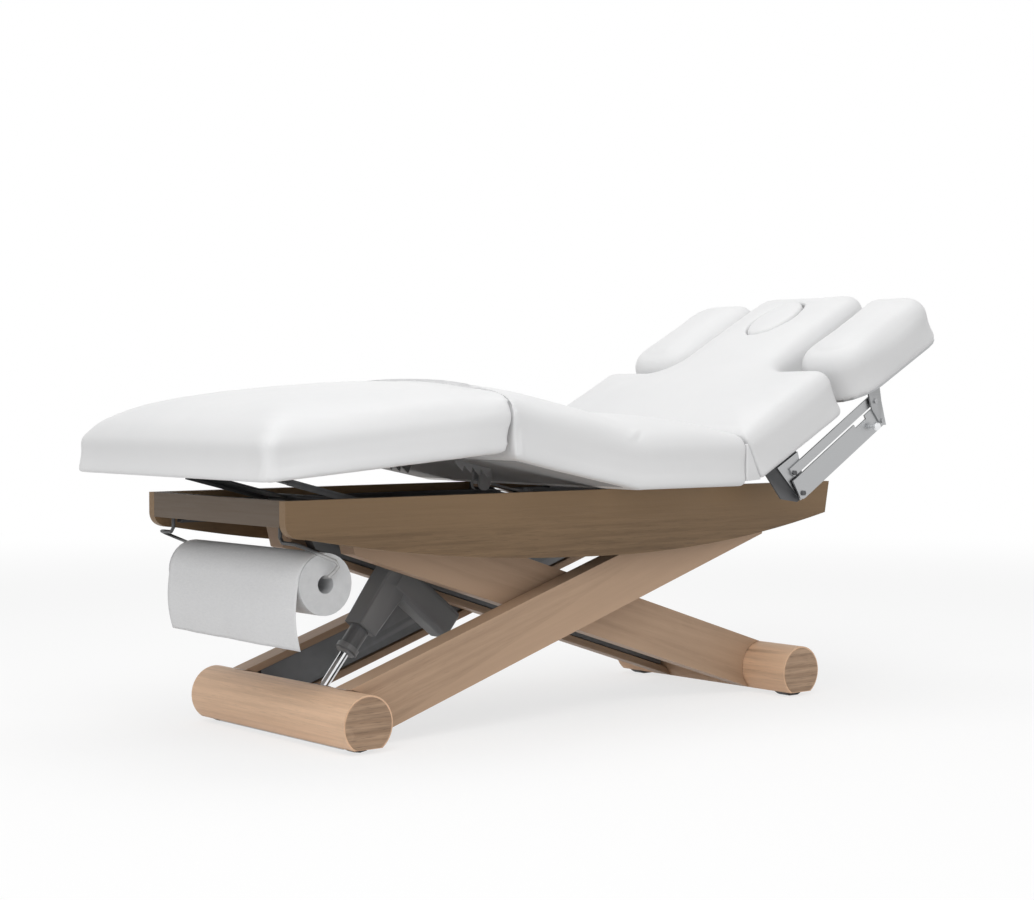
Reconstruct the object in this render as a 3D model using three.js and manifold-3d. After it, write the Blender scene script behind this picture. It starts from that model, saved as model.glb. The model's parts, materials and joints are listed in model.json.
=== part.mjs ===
// Electric treatment bed: scissor base, split upholstered top, drop-down arm pads and a paper roll.
// Lengths are millimetres. X runs towards the head end, Y across the bed, Z up from the floor.

import * as THREE from 'three';
import { mergeVertices } from 'three/addons/utils/BufferGeometryUtils.js';
import Module from 'manifold-3d';

const wasm = await Module();
wasm.setup();

// Driving dimensions of the whole bed
const bedWidth = 800;
const pivotSpan = 1290;
const beamAxisHeight = 60.5;
const panelTopHeight = 523;
const upperPivotDrop = 43;
const undersideLift = 2;
const sectionDepth = 110;
const sectionThickness = 130;
const boardThickness = 10;
const seatStart = 35;
const seatLength = 325;
const thighLength = 382.8;
const calfLength = 618;
const calfDepth = 97;

// Angles of the photographed pose and of the travel, in degrees
const thighAngle = 11.6;
const calfAngle = 4.7;
const backAngle = 28.4;
const liftDown = 2.6;
const liftUp = 13.5;
const swingMargin = 1;
const legUp = 8;
const kneeRatio = 1.405;

// Clearances
const seatGap = 0.3;
const runGap = 0.4;
const swingGap = 2;
const cushionGap = 0.5;
const overrun = 5;

// Foot beams, wheels and feet
const beam = {
  radius: 61.5,
  length: 605,
  sole: 50.5,
};
const wheel = {
  radius: 50,
  width: 34,
  axleRadius: 8,
  track: 524,
  wall: 14,
  roomAround: 3,
  tyreRound: 6,
};
const footPlate = { width: 46, thickness: 5 };
const headFoot = { radius: 50, width: 34, flat: 2 };

// Scissor arms
const arm = {
  depth: 118,
  coverWidth: 52,
  board: 14,
  lip: 16,
  tubeHalfDepth: 40,
  tubeWidth: 30,
  tongueHalf: 16,
  tongueWidth: 12,
  shaftRadius: 12,
  crossRadius: 14,
  noseGap: 60,
  heelGap: 85,
  taperStart: 170,
  taperHalf: 20,
  tubeEnd: 175,
  neck: 150,
};
const outerArmFace = 230;
const innerArmFace = 165;

// Track in the upper frame for the rollers of the outer arms
const roller = { radius: 20, width: 10, axle: 8, side: 3 };
const rail = {
  wall: 4,
  flange: 5,
  width: 20,
  footEnd: -770,
  headEnd: 745,
  tubeRadius: 12,
  tubeInset: 20,
  bearingHalf: 26,
  bearingDepth: 10,
  weld: 2,
  seatPad: 60,
  seatPadInset: 45,
};

// Upper frame panels
const panel = {
  thickness: 22,
  halfWidth: 275,
  footEnd: -827,
  headEnd: 774.5,
  footCorner: 51,
  headCorner: 14.5,
  footDepth: 79,
  headDepth: 77,
  deepest: 150,
  deepestAt: 60,
  endStep: 36,
  footPanelDepth: 54,
};

// Linear drives, measured along their own axis from the rear pin
const liftDrive = {
  anchor: 343,
  footClear: 10.75,
  eye: 16,
  eyeWidth: 43,
  pin: 8,
  bodyStart: 24,
  shoulder: 44,
  bodyEnd: 205,
  bodyHalf: 34,
  bodyHalfEnd: 27,
  bodyWidth: 64,
  tubeRadius: 22,
  tubeEnd: 268,
  rodRadius: 10,
  boreStart: 46,
  rodStart: 80,
  tipRadius: 13,
  tipWidth: 27,
  motorFrom: 25,
  motorTo: 96,
  motorReach: 190,
  motorWidth: 66,
  edge: 4,
};
const legDrive = {
  anchorX: 190,
  anchorDrop: 68,
  targetX: -170,
  targetDrop: -12,
  y: -70,
  eye: 13,
  eyeWidth: 24,
  pin: 6,
  bodyStart: 14,
  shoulder: 30,
  bodyEnd: 110,
  bodyHalf: 24,
  bodyHalfEnd: 20,
  bodyWidth: 46,
  tubeRadius: 15,
  tubeEnd: 235,
  rodRadius: 8,
  boreStart: 100,
  rodStart: 140,
  tipRadius: 15,
  tipHole: 9,
  tipWidth: 16,
  motorFrom: 30,
  motorTo: 90,
  motorReach: 62,
  motorWidth: 56,
  edge: 3,
};
const backDrive = {
  anchorX: -60,
  anchorDrop: 78,
  targetX: 346,
  targetDrop: 61,
  y: 70,
  eye: 13,
  eyeWidth: 24,
  pin: 6,
  bodyStart: 14,
  shoulder: 30,
  bodyEnd: 110,
  bodyHalf: 24,
  bodyHalfEnd: 20,
  bodyWidth: 46,
  tubeRadius: 15,
  tubeEnd: 250,
  crossPin: 5,
  rodRadius: 8,
  boreStart: 60,
  rodStart: 150,
  tipRadius: 12,
  tipWidth: 16,
  motorFrom: 30,
  motorTo: 90,
  motorReach: 62,
  motorWidth: 56,
  edge: 3,
};
const lug = { thickness: 8, gap: 1.5, radius: 16, head: 4, headRadius: 9 };
const liftCross = { x: 120, z: -25 };
const anchorStep = 45;
const crank = { holeRadius: 24, rim: 9, thickness: 8, strap: 16, sink: 4, rootX: 60, aside: 6 };
const driveStep = 32;
const legTubeDrop = 19.5;
const backDriveAim = 4.45;

// Hinges of the upholstered sections: ears that stand in notches of the cushions
const ear = { radius: 9, pin: 5, thickness: 6, y: 206 };
const boardInset = 22;

// Upholstery
const cushion = {
  corner: 28,
  edge: 28,
  bottomRound: 8,
  drawIn: 4,
  crown: 26,
  crownReach: 150,
};
const back = {
  shoulder: 345,
  neckHalf: 185,
  headEnd: 765,
  shoulderCorner: 45,
  notchRadius: 50,
  headCorner: 62,
  crown: 18,
};
const faceHole = {
  at: 590,
  halfLength: 95,
  halfWidth: 62,
  ledge: 14,
  fit: 2,
  seat: -45,
  plug: { edge: 12, bottomRound: 6, drawIn: 1, crown: 6, crownReach: 45 },
};
const pad = {
  lowerGap: 23,
  innerGap: 15,
  headEnd: 750,
  outer: 415,
  lowerOuterCorner: 95,
  lowerInnerCorner: 90,
  headOuterCorner: 82,
  headInnerCorner: 50,
  crown: 14,
  crownShare: 0.44,
  edge: 42,
  boardInset: 10,
};

// Arm pad linkage, in the frame of the tilted back
const link = {
  pivotAlong: 111,
  upperDrop: 44.6,
  lowerDrop: 99.6,
  length: 327,
  angle: 3,
  thickness: 4,
  pin: 5,
  headRadius: 6.5,
  headHeight: 4,
  lowerBelow: 14,
  lowerAbove: 43,
  upperBelow: 8,
  upperAbove: 16,
  scallopStart: 238,
  scallopEnd: 282,
  scallopDepth: 10,
  knobRadius: 11,
  knobStem: 5,
  knobOut: 16.5,
  knobInset: 38,
  knobRise: 8,
};
const bracket = {
  padInset: 43,
  thickness: 4,
  grip: 54,
  topStart: 31,
  topEnd: 150,
  heelAlong: 50,
  heelDrop: 82,
  toe: 16,
  plateStart: 70,
  plateTop: 8,
  plateEnd: 38,
  hangTop: 12,
  hangWaist: 20,
  hangEnd: 34,
};

// Calf support lever
const lever = {
  hingeX: -560,
  hingeDrop: 15,
  tipX: -785,
  gap: 2,
  glideRadius: 10,
  glideWidth: 12,
  tubeRadius: 8,
  pin: 5,
  innerY: 120,
  plateWidth: 86,
  plateThickness: 4,
  flange: 14,
};

// Teeth under the thigh board
const teeth = { count: 4, pitch: 24, depth: 20, thickness: 4, y: 150, fromKnee: 60, rise: 6 };

// Paper roll
const roll = {
  x: -722,
  drop: 173,
  radius: 64,
  core: 19,
  length: 524,
  wireRadius: 4,
  wireOut: 13,
  wireIn: 34,
  mountY: 215,
  mountDrop: 33,
  turnDrop: 87,
  bend: 14,
  hookX: -693,
  hookDrop: 131,
  sheetThickness: 1.2,
  sheetDrop: 306,
  sheetInset: 4,
  sheetWaves: 2.5,
  sheetSwing: 5,
};

// Control box under the frame
const box = {
  length: 140,
  width: 180,
  height: 48,
  inletWidth: 30,
  inletHeight: 24,
  inletDepth: 16,
  wall: 10,
};

const radians = THREE.MathUtils.degToRad;
const sides = [
  { name: 'near', sign: -1 },
  { name: 'far', sign: 1 },
];

// Materials
function paint(color, roughness, metalness) {
  return new THREE.MeshStandardMaterial({ color, roughness, metalness });
}
const leatherette = () => paint(0xf1f1f0, 0.5, 0);
const wood = () => paint(0x8a6f58, 0.55, 0);
const darkSteel = () => paint(0x3f4042, 0.45, 0.6);
const greySteel = () => paint(0x8d8f92, 0.4, 0.7);
const lightSteel = () => paint(0xb9babc, 0.35, 0.8);
const greyPlastic = () => paint(0x9c9ea1, 0.5, 0);
const blackPlastic = () => paint(0x1c1c1e, 0.6, 0);
const rubber = () => paint(0x141414, 0.8, 0);
const chrome = () => paint(0xe4e6e8, 0.1, 1);
const paper = () => paint(0xdcdddf, 0.85, 0);

// Solids and meshes
function solidOf(geometry) {
  const plain = geometry.clone();
  plain.deleteAttribute('normal');
  plain.deleteAttribute('uv');
  const merged = mergeVertices(plain, 1e-4);
  return new wasm.Manifold(new wasm.Mesh({
    numProp: 3,
    vertProperties: new Float32Array(merged.attributes.position.array),
    triVerts: new Uint32Array(merged.index.array),
  }));
}

function geometryOf(solid) {
  const mesh = solid.getMesh();
  const geometry = new THREE.BufferGeometry();
  geometry.setAttribute('position', new THREE.BufferAttribute(new Float32Array(mesh.vertProperties), 3));
  geometry.setIndex(new THREE.BufferAttribute(new Uint32Array(mesh.triVerts), 1));
  geometry.computeVertexNormals();
  return geometry;
}

function join(geometries) {
  return geometries.map(solidOf).reduce((sum, solid) => sum.add(solid));
}

function shaped(added, removed) {
  const whole = join(added);
  return geometryOf(removed.length ? whole.subtract(join(removed)) : whole);
}

function place(parent, name, geometry, material) {
  const mesh = new THREE.Mesh(geometry, material);
  mesh.name = name;
  parent.add(mesh);
  return mesh;
}

function frameAt(parent, name, x, z, angle = 0) {
  const group = new THREE.Group();
  group.name = name;
  group.position.set(x, 0, z);
  group.rotation.y = -angle;
  parent.add(group);
  return group;
}

// Basic forms, all with their axis or thickness along Y unless named otherwise
function bar(x0, x1, y0, y1, z0, z1) {
  const geometry = new THREE.BoxGeometry(x1 - x0, Math.abs(y1 - y0), z1 - z0);
  return geometry.translate((x0 + x1) / 2, (y0 + y1) / 2, (z0 + z1) / 2);
}

function facetsFor(radius) {
  if (radius > bedWidth / 40) return 20;
  return radius > bedWidth / 110 ? 14 : 10;
}

function pin(radius, y0, y1, x = 0, z = 0, facets = facetsFor(radius)) {
  const geometry = new THREE.CylinderGeometry(radius, radius, Math.abs(y1 - y0), facets);
  return geometry.translate(x, (y0 + y1) / 2, z);
}

function slab(shape, y0, y1, curveSegments = 4) {
  const low = Math.min(y0, y1);
  const depth = Math.abs(y1 - y0);
  const geometry = new THREE.ExtrudeGeometry(shape, { depth, bevelEnabled: false, curveSegments });
  return geometry.rotateX(Math.PI / 2).translate(0, low + depth, 0);
}

function outline(points) {
  return new THREE.Shape(points.map(([x, z]) => new THREE.Vector2(x, z)));
}

// A plate with round ends about two points
function strap(x0, z0, x1, z1, radius) {
  const turn = Math.atan2(z1 - z0, x1 - x0);
  const shape = new THREE.Shape();
  shape.absarc(x1, z1, radius, turn - Math.PI / 2, turn + Math.PI / 2);
  shape.absarc(x0, z0, radius, turn + Math.PI / 2, turn + 3 * Math.PI / 2);
  shape.closePath();
  return shape;
}

// Foot beam with its flat sole
function beamGeometry() {
  const start = -Math.asin(beam.sole / beam.radius);
  const shape = new THREE.Shape();
  shape.absarc(0, 0, beam.radius, start, Math.PI - start);
  shape.closePath();
  return slab(shape, -beam.length / 2, beam.length / 2, 16);
}

// Room in a beam for the tongue of an arm, over the whole swing of the arm
function tongueRoom(y, towardsHead) {
  const half = arm.tongueHalf + swingGap;
  const reach = beam.radius + overrun;
  const low = armAngle - radians(liftDown + swingMargin);
  const high = armAngle + radians(liftUp + swingMargin);
  const wedge = outline([
    [half * Math.sin(low), -half * Math.cos(low)],
    [half * Math.sin(low) + reach * Math.cos(low), reach * Math.sin(low) - half * Math.cos(low)],
    [reach * Math.cos(high) - half * Math.sin(high), reach * Math.sin(high) + half * Math.cos(high)],
    [-half * Math.sin(high), half * Math.cos(high)],
  ]);
  const y0 = y - arm.tongueWidth / 2 - swingGap;
  const y1 = y + arm.tongueWidth / 2 + swingGap;
  const rooms = [slab(wedge, y0, y1), pin(half, y0, y1)];
  return towardsHead ? rooms : rooms.map((room) => room.rotateZ(Math.PI));
}

function shaftRoom(half) {
  return pin(arm.shaftRadius + runGap, -half, half);
}

// Scissor geometry
const upperPivotHeight = panelTopHeight - upperPivotDrop;
const armRise = upperPivotHeight - beamAxisHeight;
const armLength = Math.hypot(pivotSpan, armRise);
const armAngle = Math.atan2(armRise, pivotSpan);
const liftFoot = beam.radius + lug.radius + liftDrive.footClear;
const outerTubeFace = outerArmFace - arm.board - seatGap;
const innerTubeFace = innerArmFace - arm.board - seatGap;
const outerTubeMid = outerTubeFace - arm.tubeWidth / 2;
const innerTubeMid = innerTubeFace - arm.tubeWidth / 2;

// Steel member of one arm: box tube with a tongue at each end
function armTube(y) {
  const start = beam.radius + swingGap;
  const end = armLength - arm.tubeEnd;
  const neck = armLength - arm.neck;
  const shape = new THREE.Shape();
  shape.moveTo(start, -arm.tubeHalfDepth);
  shape.lineTo(end, -arm.tubeHalfDepth);
  shape.lineTo(neck, -arm.tongueHalf);
  shape.absarc(armLength, 0, arm.tongueHalf, -Math.PI / 2, Math.PI / 2);
  shape.lineTo(neck, arm.tongueHalf);
  shape.lineTo(end, arm.tubeHalfDepth);
  shape.lineTo(start, arm.tubeHalfDepth);
  shape.closePath();
  const tongue = strap(0, 0, start + overrun, 0, arm.tongueHalf);
  return [
    slab(shape, y - arm.tubeWidth / 2, y + arm.tubeWidth / 2),
    slab(tongue, y - arm.tongueWidth / 2, y + arm.tongueWidth / 2),
  ];
}

// Wooden cover of one arm, an open channel round the steel member
function armCover(face, sign) {
  const half = arm.depth / 2;
  const inner = half - arm.lip;
  const nose = armLength - arm.noseGap;
  const heel = armLength - arm.heelGap;
  const taper = armLength - arm.taperStart;
  const slope = (half - arm.taperHalf) / (nose - taper);
  const pocketEnd = heel - arm.lip;
  const full = outline([
    [0, -half],
    [heel, -half],
    [nose, -arm.taperHalf],
    [nose, arm.taperHalf],
    [taper, half],
    [0, half],
  ]);
  const hollow = outline([
    [-overrun, -inner],
    [pocketEnd, -inner],
    [pocketEnd, arm.taperHalf + slope * (nose - pocketEnd) - arm.lip],
    [taper, inner],
    [-overrun, inner],
  ]);
  const backFace = sign * (face - arm.coverWidth);
  const boardFace = sign * (face - arm.board);
  const open = backFace - sign * overrun;
  const slot = arm.tongueHalf + runGap;
  return {
    added: [slab(full, backFace, sign * face)],
    removed: [
      slab(hollow, open, boardFace),
      bar(pocketEnd - overrun, armLength, open, boardFace, -slot, slot),
      pin(beam.radius + swingGap, -outerArmFace - overrun, outerArmFace + overrun, 0, 0, 24),
    ],
  };
}

// A housing with its rear eye at the origin and its rod along X
const noseShare = 0.24;
const motorRoundShare = 0.4;
function driveHousing(size) {
  const body = outline([
    [size.bodyStart, -size.bodyHalf * noseShare],
    [size.shoulder, -size.bodyHalf],
    [size.motorTo, -size.bodyHalf],
    [size.bodyEnd, -size.bodyHalfEnd],
    [size.bodyEnd, size.bodyHalfEnd],
    [size.motorTo, size.bodyHalf],
    [size.bodyStart, size.bodyHalf],
  ]);
  const inner = size.bodyWidth / 2 - size.edge;
  const bodyGeometry = new THREE.ExtrudeGeometry(body, {
    depth: 2 * inner,
    bevelThickness: size.edge,
    bevelSize: size.edge,
    bevelOffset: -size.edge,
    bevelSegments: 1,
  }).rotateX(Math.PI / 2).translate(0, inner, 0);
  const motorMid = (size.motorFrom + size.motorTo) / 2;
  const motorHalf = (size.motorTo - size.motorFrom) / 2;
  const motorSection = new THREE.Shape();
  const round = motorHalf * motorRoundShare;
  const w = size.motorWidth / 2;
  motorSection.absarc(motorHalf - round, w - round, round, 0, Math.PI / 2);
  motorSection.absarc(round - motorHalf, w - round, round, Math.PI / 2, Math.PI);
  motorSection.absarc(round - motorHalf, round - w, round, Math.PI, 3 * Math.PI / 2);
  motorSection.absarc(motorHalf - round, round - w, round, 3 * Math.PI / 2, 2 * Math.PI);
  motorSection.closePath();
  const motorGeometry = new THREE.ExtrudeGeometry(motorSection, {
    depth: size.motorReach - size.edge,
    bevelThickness: size.edge,
    bevelSize: size.edge,
    bevelOffset: -size.edge,
    bevelSegments: 1,
    curveSegments: 2,
  }).translate(motorMid, 0, 0);
  const tube = alongX(size.tubeRadius, size.bodyEnd - overrun, size.tubeEnd);
  const collar = alongX(size.tubeRadius + size.edge, size.tubeEnd - 4 * size.edge, size.tubeEnd - size.edge);
  const eye = pin(size.eye, -size.eyeWidth / 2, size.eyeWidth / 2);
  const eyeHalf = size.eyeWidth / 2;
  const neck = bar(0, size.motorFrom + overrun, -eyeHalf, eyeHalf, -size.eye / 2, size.eye / 2);
  return {
    added: [bodyGeometry, motorGeometry, tube, collar, eye, neck],
    removed: [
      alongX(size.rodRadius + runGap, size.boreStart, size.tubeEnd + overrun),
      pin(size.pin + runGap, -size.eyeWidth, size.eyeWidth),
    ],
  };
}

function alongX(radius, x0, x1, facets = facetsFor(radius)) {
  const geometry = new THREE.CylinderGeometry(radius, radius, x1 - x0, facets);
  return geometry.rotateZ(Math.PI / 2).translate((x0 + x1) / 2, 0, 0);
}

// Rod of a drive, with its eye or cross pin at the reach
function driveRod(size, reach) {
  const half = size.tipWidth / 2;
  return [
    alongX(size.rodRadius, size.rodStart, reach),
    pin(size.tipRadius, -half, half, reach, 0),
  ];
}

// Two lugs that hold a pin at one point and grow out of a tube at another
function lugPair(pinX, pinZ, tubeX, tubeZ, between, radius) {
  const shape = strap(pinX, pinZ, tubeX, tubeZ, radius);
  const inner = between / 2 + lug.gap;
  return [
    slab(shape, inner, inner + lug.thickness),
    slab(shape, -inner - lug.thickness, -inner),
  ];
}

// Upholstery: a loop of rounded corners that can be drawn inwards
function roundedLoop(corners, inset) {
  const points = [];
  const count = corners.length;
  for (let i = 0; i < count; i += 1) {
    const here = new THREE.Vector2(corners[i].x, corners[i].y);
    const before = new THREE.Vector2(corners[(i + count - 1) % count].x, corners[(i + count - 1) % count].y);
    const after = new THREE.Vector2(corners[(i + 1) % count].x, corners[(i + 1) % count].y);
    const into = here.clone().sub(before).normalize();
    const out = after.clone().sub(here).normalize();
    const turn = Math.atan2(into.cross(out), into.dot(out));
    const half = turn / 2;
    const bisector = new THREE.Vector2(-into.y - out.y, into.x + out.x).normalize();
    const corner = here.clone().addScaledVector(bisector, inset / Math.cos(half));
    const steps = corners[i].r > cushion.edge ? 5 : 3;
    const room = Math.min(here.distanceTo(before), here.distanceTo(after)) / 2;
    const round = Math.min(corners[i].r, room / Math.tan(Math.abs(half)));
    const radius = Math.max(round - Math.sign(turn) * inset, seatGap);
    const tangent = radius * Math.tan(Math.abs(half));
    const centre = corner.clone().addScaledVector(bisector, Math.sign(turn) * radius / Math.cos(half));
    const start = corner.clone().addScaledVector(into, -tangent).sub(centre);
    for (let step = 0; step <= steps; step += 1) {
      points.push(start.clone().rotateAround(new THREE.Vector2(), turn * step / steps).add(centre));
    }
  }
  return points;
}

// Insets and heights of the rings of a cushion, from its underside to its crown
const sideShares = [0.33, 0.67];
function cushionRings(size) {
  const rings = [];
  const side = size.thickness - size.edge - size.bottomRound;
  for (let step = 0; step <= 1; step += 1) {
    const turn = step * Math.PI / 2;
    rings.push([size.bottomRound * (1 - Math.sin(turn)), size.bottomRound * (1 - Math.cos(turn))]);
  }
  for (const share of sideShares) {
    rings.push([size.drawIn * Math.sin(Math.PI * share), size.bottomRound + side * share]);
  }
  for (let step = 0; step <= 3; step += 1) {
    const turn = (step / 3) * Math.PI / 2;
    rings.push([size.edge * (1 - Math.cos(turn)), size.thickness - size.edge * (1 - Math.sin(turn))]);
  }
  for (let step = 1; step <= 3; step += 1) {
    const share = step / 3;
    const rise = size.crown * (1 - (1 - share) ** 2);
    rings.push([size.edge + (size.crownReach - size.edge) * share, size.thickness + rise]);
  }
  return rings;
}

function cushionGeometry(loopAt, size) {
  const rings = cushionRings(size);
  const loops = rings.map(([inset]) => loopAt(inset));
  const around = loops[0].length;
  const positions = [];
  loops.forEach((loop, level) => {
    loop.forEach((point) => positions.push(point.x, point.y, rings[level][1]));
  });
  const index = [];
  for (let level = 0; level < loops.length - 1; level += 1) {
    for (let i = 0; i < around; i += 1) {
      const a = level * around + i;
      const b = level * around + (i + 1) % around;
      index.push(a, b, b + around, a, b + around, a + around);
    }
  }
  const last = (loops.length - 1) * around;
  for (const [a, b, c] of THREE.ShapeUtils.triangulateShape(loops[0], [])) index.push(a, c, b);
  for (const [a, b, c] of THREE.ShapeUtils.triangulateShape(loops[loops.length - 1], [])) {
    index.push(last + a, last + b, last + c);
  }
  const geometry = new THREE.BufferGeometry();
  geometry.setAttribute('position', new THREE.Float32BufferAttribute(positions, 3));
  geometry.setIndex(index);
  return geometry;
}

function block(x0, x1, halfWidth, radius = cushion.corner) {
  return [
    { x: x0, y: -halfWidth, r: radius },
    { x: x1, y: -halfWidth, r: radius },
    { x: x1, y: halfWidth, r: radius },
    { x: x0, y: halfWidth, r: radius },
  ];
}

// Board with the plan of its cushion, drawn in by a set amount
function boardGeometry(loopAt, inset, low) {
  const loop = loopAt(inset);
  const geometry = new THREE.ExtrudeGeometry(new THREE.Shape(loop), {
    depth: boardThickness,
    bevelEnabled: false,
  });
  return geometry.translate(0, 0, low);
}

// Room in a cushion for the board that is let into its underside
function boardRoom(loopAt, inset, depth) {
  const shape = new THREE.Shape(loopAt(inset - seatGap));
  const geometry = new THREE.ExtrudeGeometry(shape, { depth: boardRoomTop + overrun, bevelEnabled: false });
  return geometry.translate(0, 0, -depth - overrun);
}

// Lean an end face: the part below the hinge draws back, by the tangent of the angle
function leanFaces(geometry, x0, x1, tanStart, tanEnd) {
  const position = geometry.attributes.position;
  for (let i = 0; i < position.count; i += 1) {
    const share = (position.getX(i) - x0) / (x1 - x0);
    const drop = -position.getZ(i);
    position.setX(i, position.getX(i) + drop * (tanStart * (1 - share) - tanEnd * share));
  }
  return geometry;
}

// The bed, built from the floor up
const bed = new THREE.Group();
const below = (drop) => panelTopHeight - drop;
const headPivotX = pivotSpan / 2;
const footPivotX = -pivotSpan / 2;
const undersideHeight = panelTopHeight + undersideLift;
const hingeHeight = undersideHeight + sectionDepth;
const boardRoomTop = boardThickness + seatGap;
const cushionTop = sectionThickness - sectionDepth;
const halfBed = bedWidth / 2;
const wheelY = wheel.track / 2;
const panelInner = panel.halfWidth - panel.thickness;
const railOuter = panelInner - seatGap;
const railInner = railOuter - rail.width;
const railHalf = roller.radius + runGap + rail.flange;

function addHeadBase() {
  const group = frameAt(bed, 'head_base', headPivotX, beamAxisHeight);
  const removed = [shaftRoom(innerTubeMid)];
  for (const { sign } of sides) removed.push(...tongueRoom(sign * innerTubeMid, false));
  place(group, 'head_beam', shaped([beamGeometry()], removed), wood());
  for (const { name, sign } of sides) {
    const top = -beam.sole - seatGap;
    const centre = headFoot.radius - headFoot.flat - beamAxisHeight;
    const half = Math.acos((centre - top) / headFoot.radius);
    const flatHalf = Math.acos((headFoot.radius - headFoot.flat) / headFoot.radius);
    const shape = new THREE.Shape();
    shape.absarc(0, centre, headFoot.radius, -Math.PI / 2 - half, -Math.PI / 2 - flatHalf);
    shape.absarc(0, centre, headFoot.radius, -Math.PI / 2 + flatHalf, -Math.PI / 2 + half);
    shape.closePath();
    const y = sign * wheelY;
    const geometry = slab(shape, y - headFoot.width / 2, y + headFoot.width / 2, 6);
    place(group, `head_foot_${name}`, geometry, rubber());
  }
}

function addFootBase() {
  const group = frameAt(bed, 'foot_base', footPivotX, beamAxisHeight);
  const drop = wheel.radius - beamAxisHeight;
  const removed = [shaftRoom(outerTubeMid)];
  for (const { sign } of sides) {
    const y = sign * wheelY;
    const half = wheel.width / 2 + swingGap;
    const axleHalf = wheel.width / 2 + wheel.wall + seatGap;
    removed.push(...tongueRoom(sign * outerTubeMid, true));
    removed.push(pin(wheel.radius + wheel.roomAround, y - half, y + half, 0, drop));
    removed.push(pin(wheel.axleRadius + seatGap, y - axleHalf, y + axleHalf, 0, drop));
  }
  place(group, 'foot_beam', shaped([beamGeometry()], removed), wood());
  const plateTop = -beam.sole - seatGap;
  const plateHalf = wheelY - wheel.width / 2 - swingGap;
  const plate = bar(
    -footPlate.width / 2, footPlate.width / 2, -plateHalf, plateHalf,
    plateTop - footPlate.thickness, plateTop,
  );
  place(group, 'foot_plate', plate, greySteel());
  for (const { name, sign } of sides) addWheel(group, name, sign * wheelY, drop);
}

function addWheel(group, name, y, drop) {
  const half = wheel.width / 2;
  const axleHalf = half + wheel.wall;
  const bore = wheel.axleRadius + runGap;
  const round = wheel.tyreRound;
  const profile = [
    [bore, -half],
    [wheel.radius - round, -half],
    [wheel.radius, round - half],
    [wheel.radius, half - round],
    [wheel.radius - round, half],
    [bore, half],
    [bore, -half],
  ].map(([r, h]) => new THREE.Vector2(r, h));
  place(group, `wheel_axle_${name}`, pin(wheel.axleRadius, y - axleHalf, y + axleHalf, 0, drop), greySteel());
  const spin = frameAt(group, `wheel_${name}_spin`, 0, drop);
  place(spin, `wheel_${name}`, new THREE.LatheGeometry(profile, 20).translate(0, y, 0), rubber());
}

// Both arm pairs are built along their own X, from the lower pivot to the upper one
const toHead = frameAt(bed, 'outer_lower_pivot', footPivotX, beamAxisHeight);
const toFoot = frameAt(bed, 'inner_lower_pivot', headPivotX, beamAxisHeight);
toFoot.rotation.z = Math.PI;
const outerArms = frameAt(toHead, 'outer_arms', 0, 0, armAngle);
const innerArms = frameAt(toFoot, 'inner_arms', 0, 0, armAngle);
frameAt(innerArms, 'centre_pivot', armLength / 2, 0);
frameAt(innerArms, 'upper_pivot', armLength, 0);

function addInnerArms() {
  const middle = armLength / 2;
  const anchorX = middle + liftDrive.anchor;
  const crossX = anchorX + anchorStep;
  const shaftEnd = railInner - seatGap;
  const pinHalf = liftDrive.eyeWidth / 2 + overrun;
  const added = [
    pin(arm.shaftRadius, -innerTubeMid, innerTubeMid),
    pin(arm.shaftRadius, -shaftEnd, shaftEnd, armLength),
    pin(arm.crossRadius, -innerTubeMid, innerTubeMid, crossX),
    pin(liftDrive.pin, -pinHalf, pinHalf, anchorX),
    ...lugPair(anchorX, 0, crossX, 0, liftDrive.eyeWidth, lug.radius),
  ];
  for (const { sign } of sides) {
    added.push(...armTube(sign * innerTubeMid));
    added.push(pin(arm.shaftRadius, sign * innerTubeMid, sign * outerTubeFace, middle));
  }
  place(innerArms, 'inner_arm_frame', shaped(added, []), greySteel());
  for (const { name, sign } of sides) {
    const cover = armCover(innerArmFace, -sign);
    const hole = pin(arm.shaftRadius + swingGap, 0, -sign * outerArmFace, middle);
    place(innerArms, `inner_arm_cover_${name}`, shaped(cover.added, [...cover.removed, hole]), wood());
  }
}

function addOuterArms() {
  const middle = armLength / 2;
  const lugFace = liftDrive.tipWidth / 2 + lug.gap + lug.thickness;
  const rollerFace = railInner + roller.side;
  const added = [
    pin(arm.shaftRadius, -outerTubeMid, outerTubeMid),
    pin(arm.crossRadius, -outerTubeMid, outerTubeMid, liftCross.x, liftCross.z),
    pin(arm.crossRadius, -outerTubeMid, outerTubeMid, armLength - arm.neck),
    ...lugPair(liftFoot, 0, liftCross.x, liftCross.z, liftDrive.tipWidth, lug.radius),
  ];
  const removed = [];
  for (const { sign } of sides) {
    added.push(...armTube(sign * outerTubeMid));
    added.push(pin(roller.axle, sign * outerTubeMid, sign * (rollerFace + roller.width), armLength));
    added.push(pin(lug.headRadius, sign * (lugFace - lug.head), sign * (lugFace + lug.head), liftFoot, 0, 6));
    removed.push(pin(arm.shaftRadius + runGap, sign * innerArmFace, sign * outerArmFace, middle));
  }
  place(outerArms, 'outer_arm_frame', shaped(added, removed), greySteel());
  for (const { name, sign } of sides) {
    const cover = armCover(outerArmFace, sign);
    place(outerArms, `outer_arm_cover_${name}`, shaped(cover.added, cover.removed), wood());
    const spin = frameAt(outerArms, `track_roller_${name}_spin`, armLength, 0);
    const y0 = sign * rollerFace;
    const y1 = sign * (rollerFace + roller.width);
    const bore = pin(roller.axle + runGap, sign * railInner, sign * railOuter);
    place(spin, `track_roller_${name}`, shaped([pin(roller.radius, y0, y1)], [bore]), blackPlastic());
  }
}

function driveAxis(parent, name, fromX, fromZ, toX, toZ) {
  return frameAt(parent, name, fromX, fromZ, Math.atan2(toZ - fromZ, toX - fromX));
}

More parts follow.
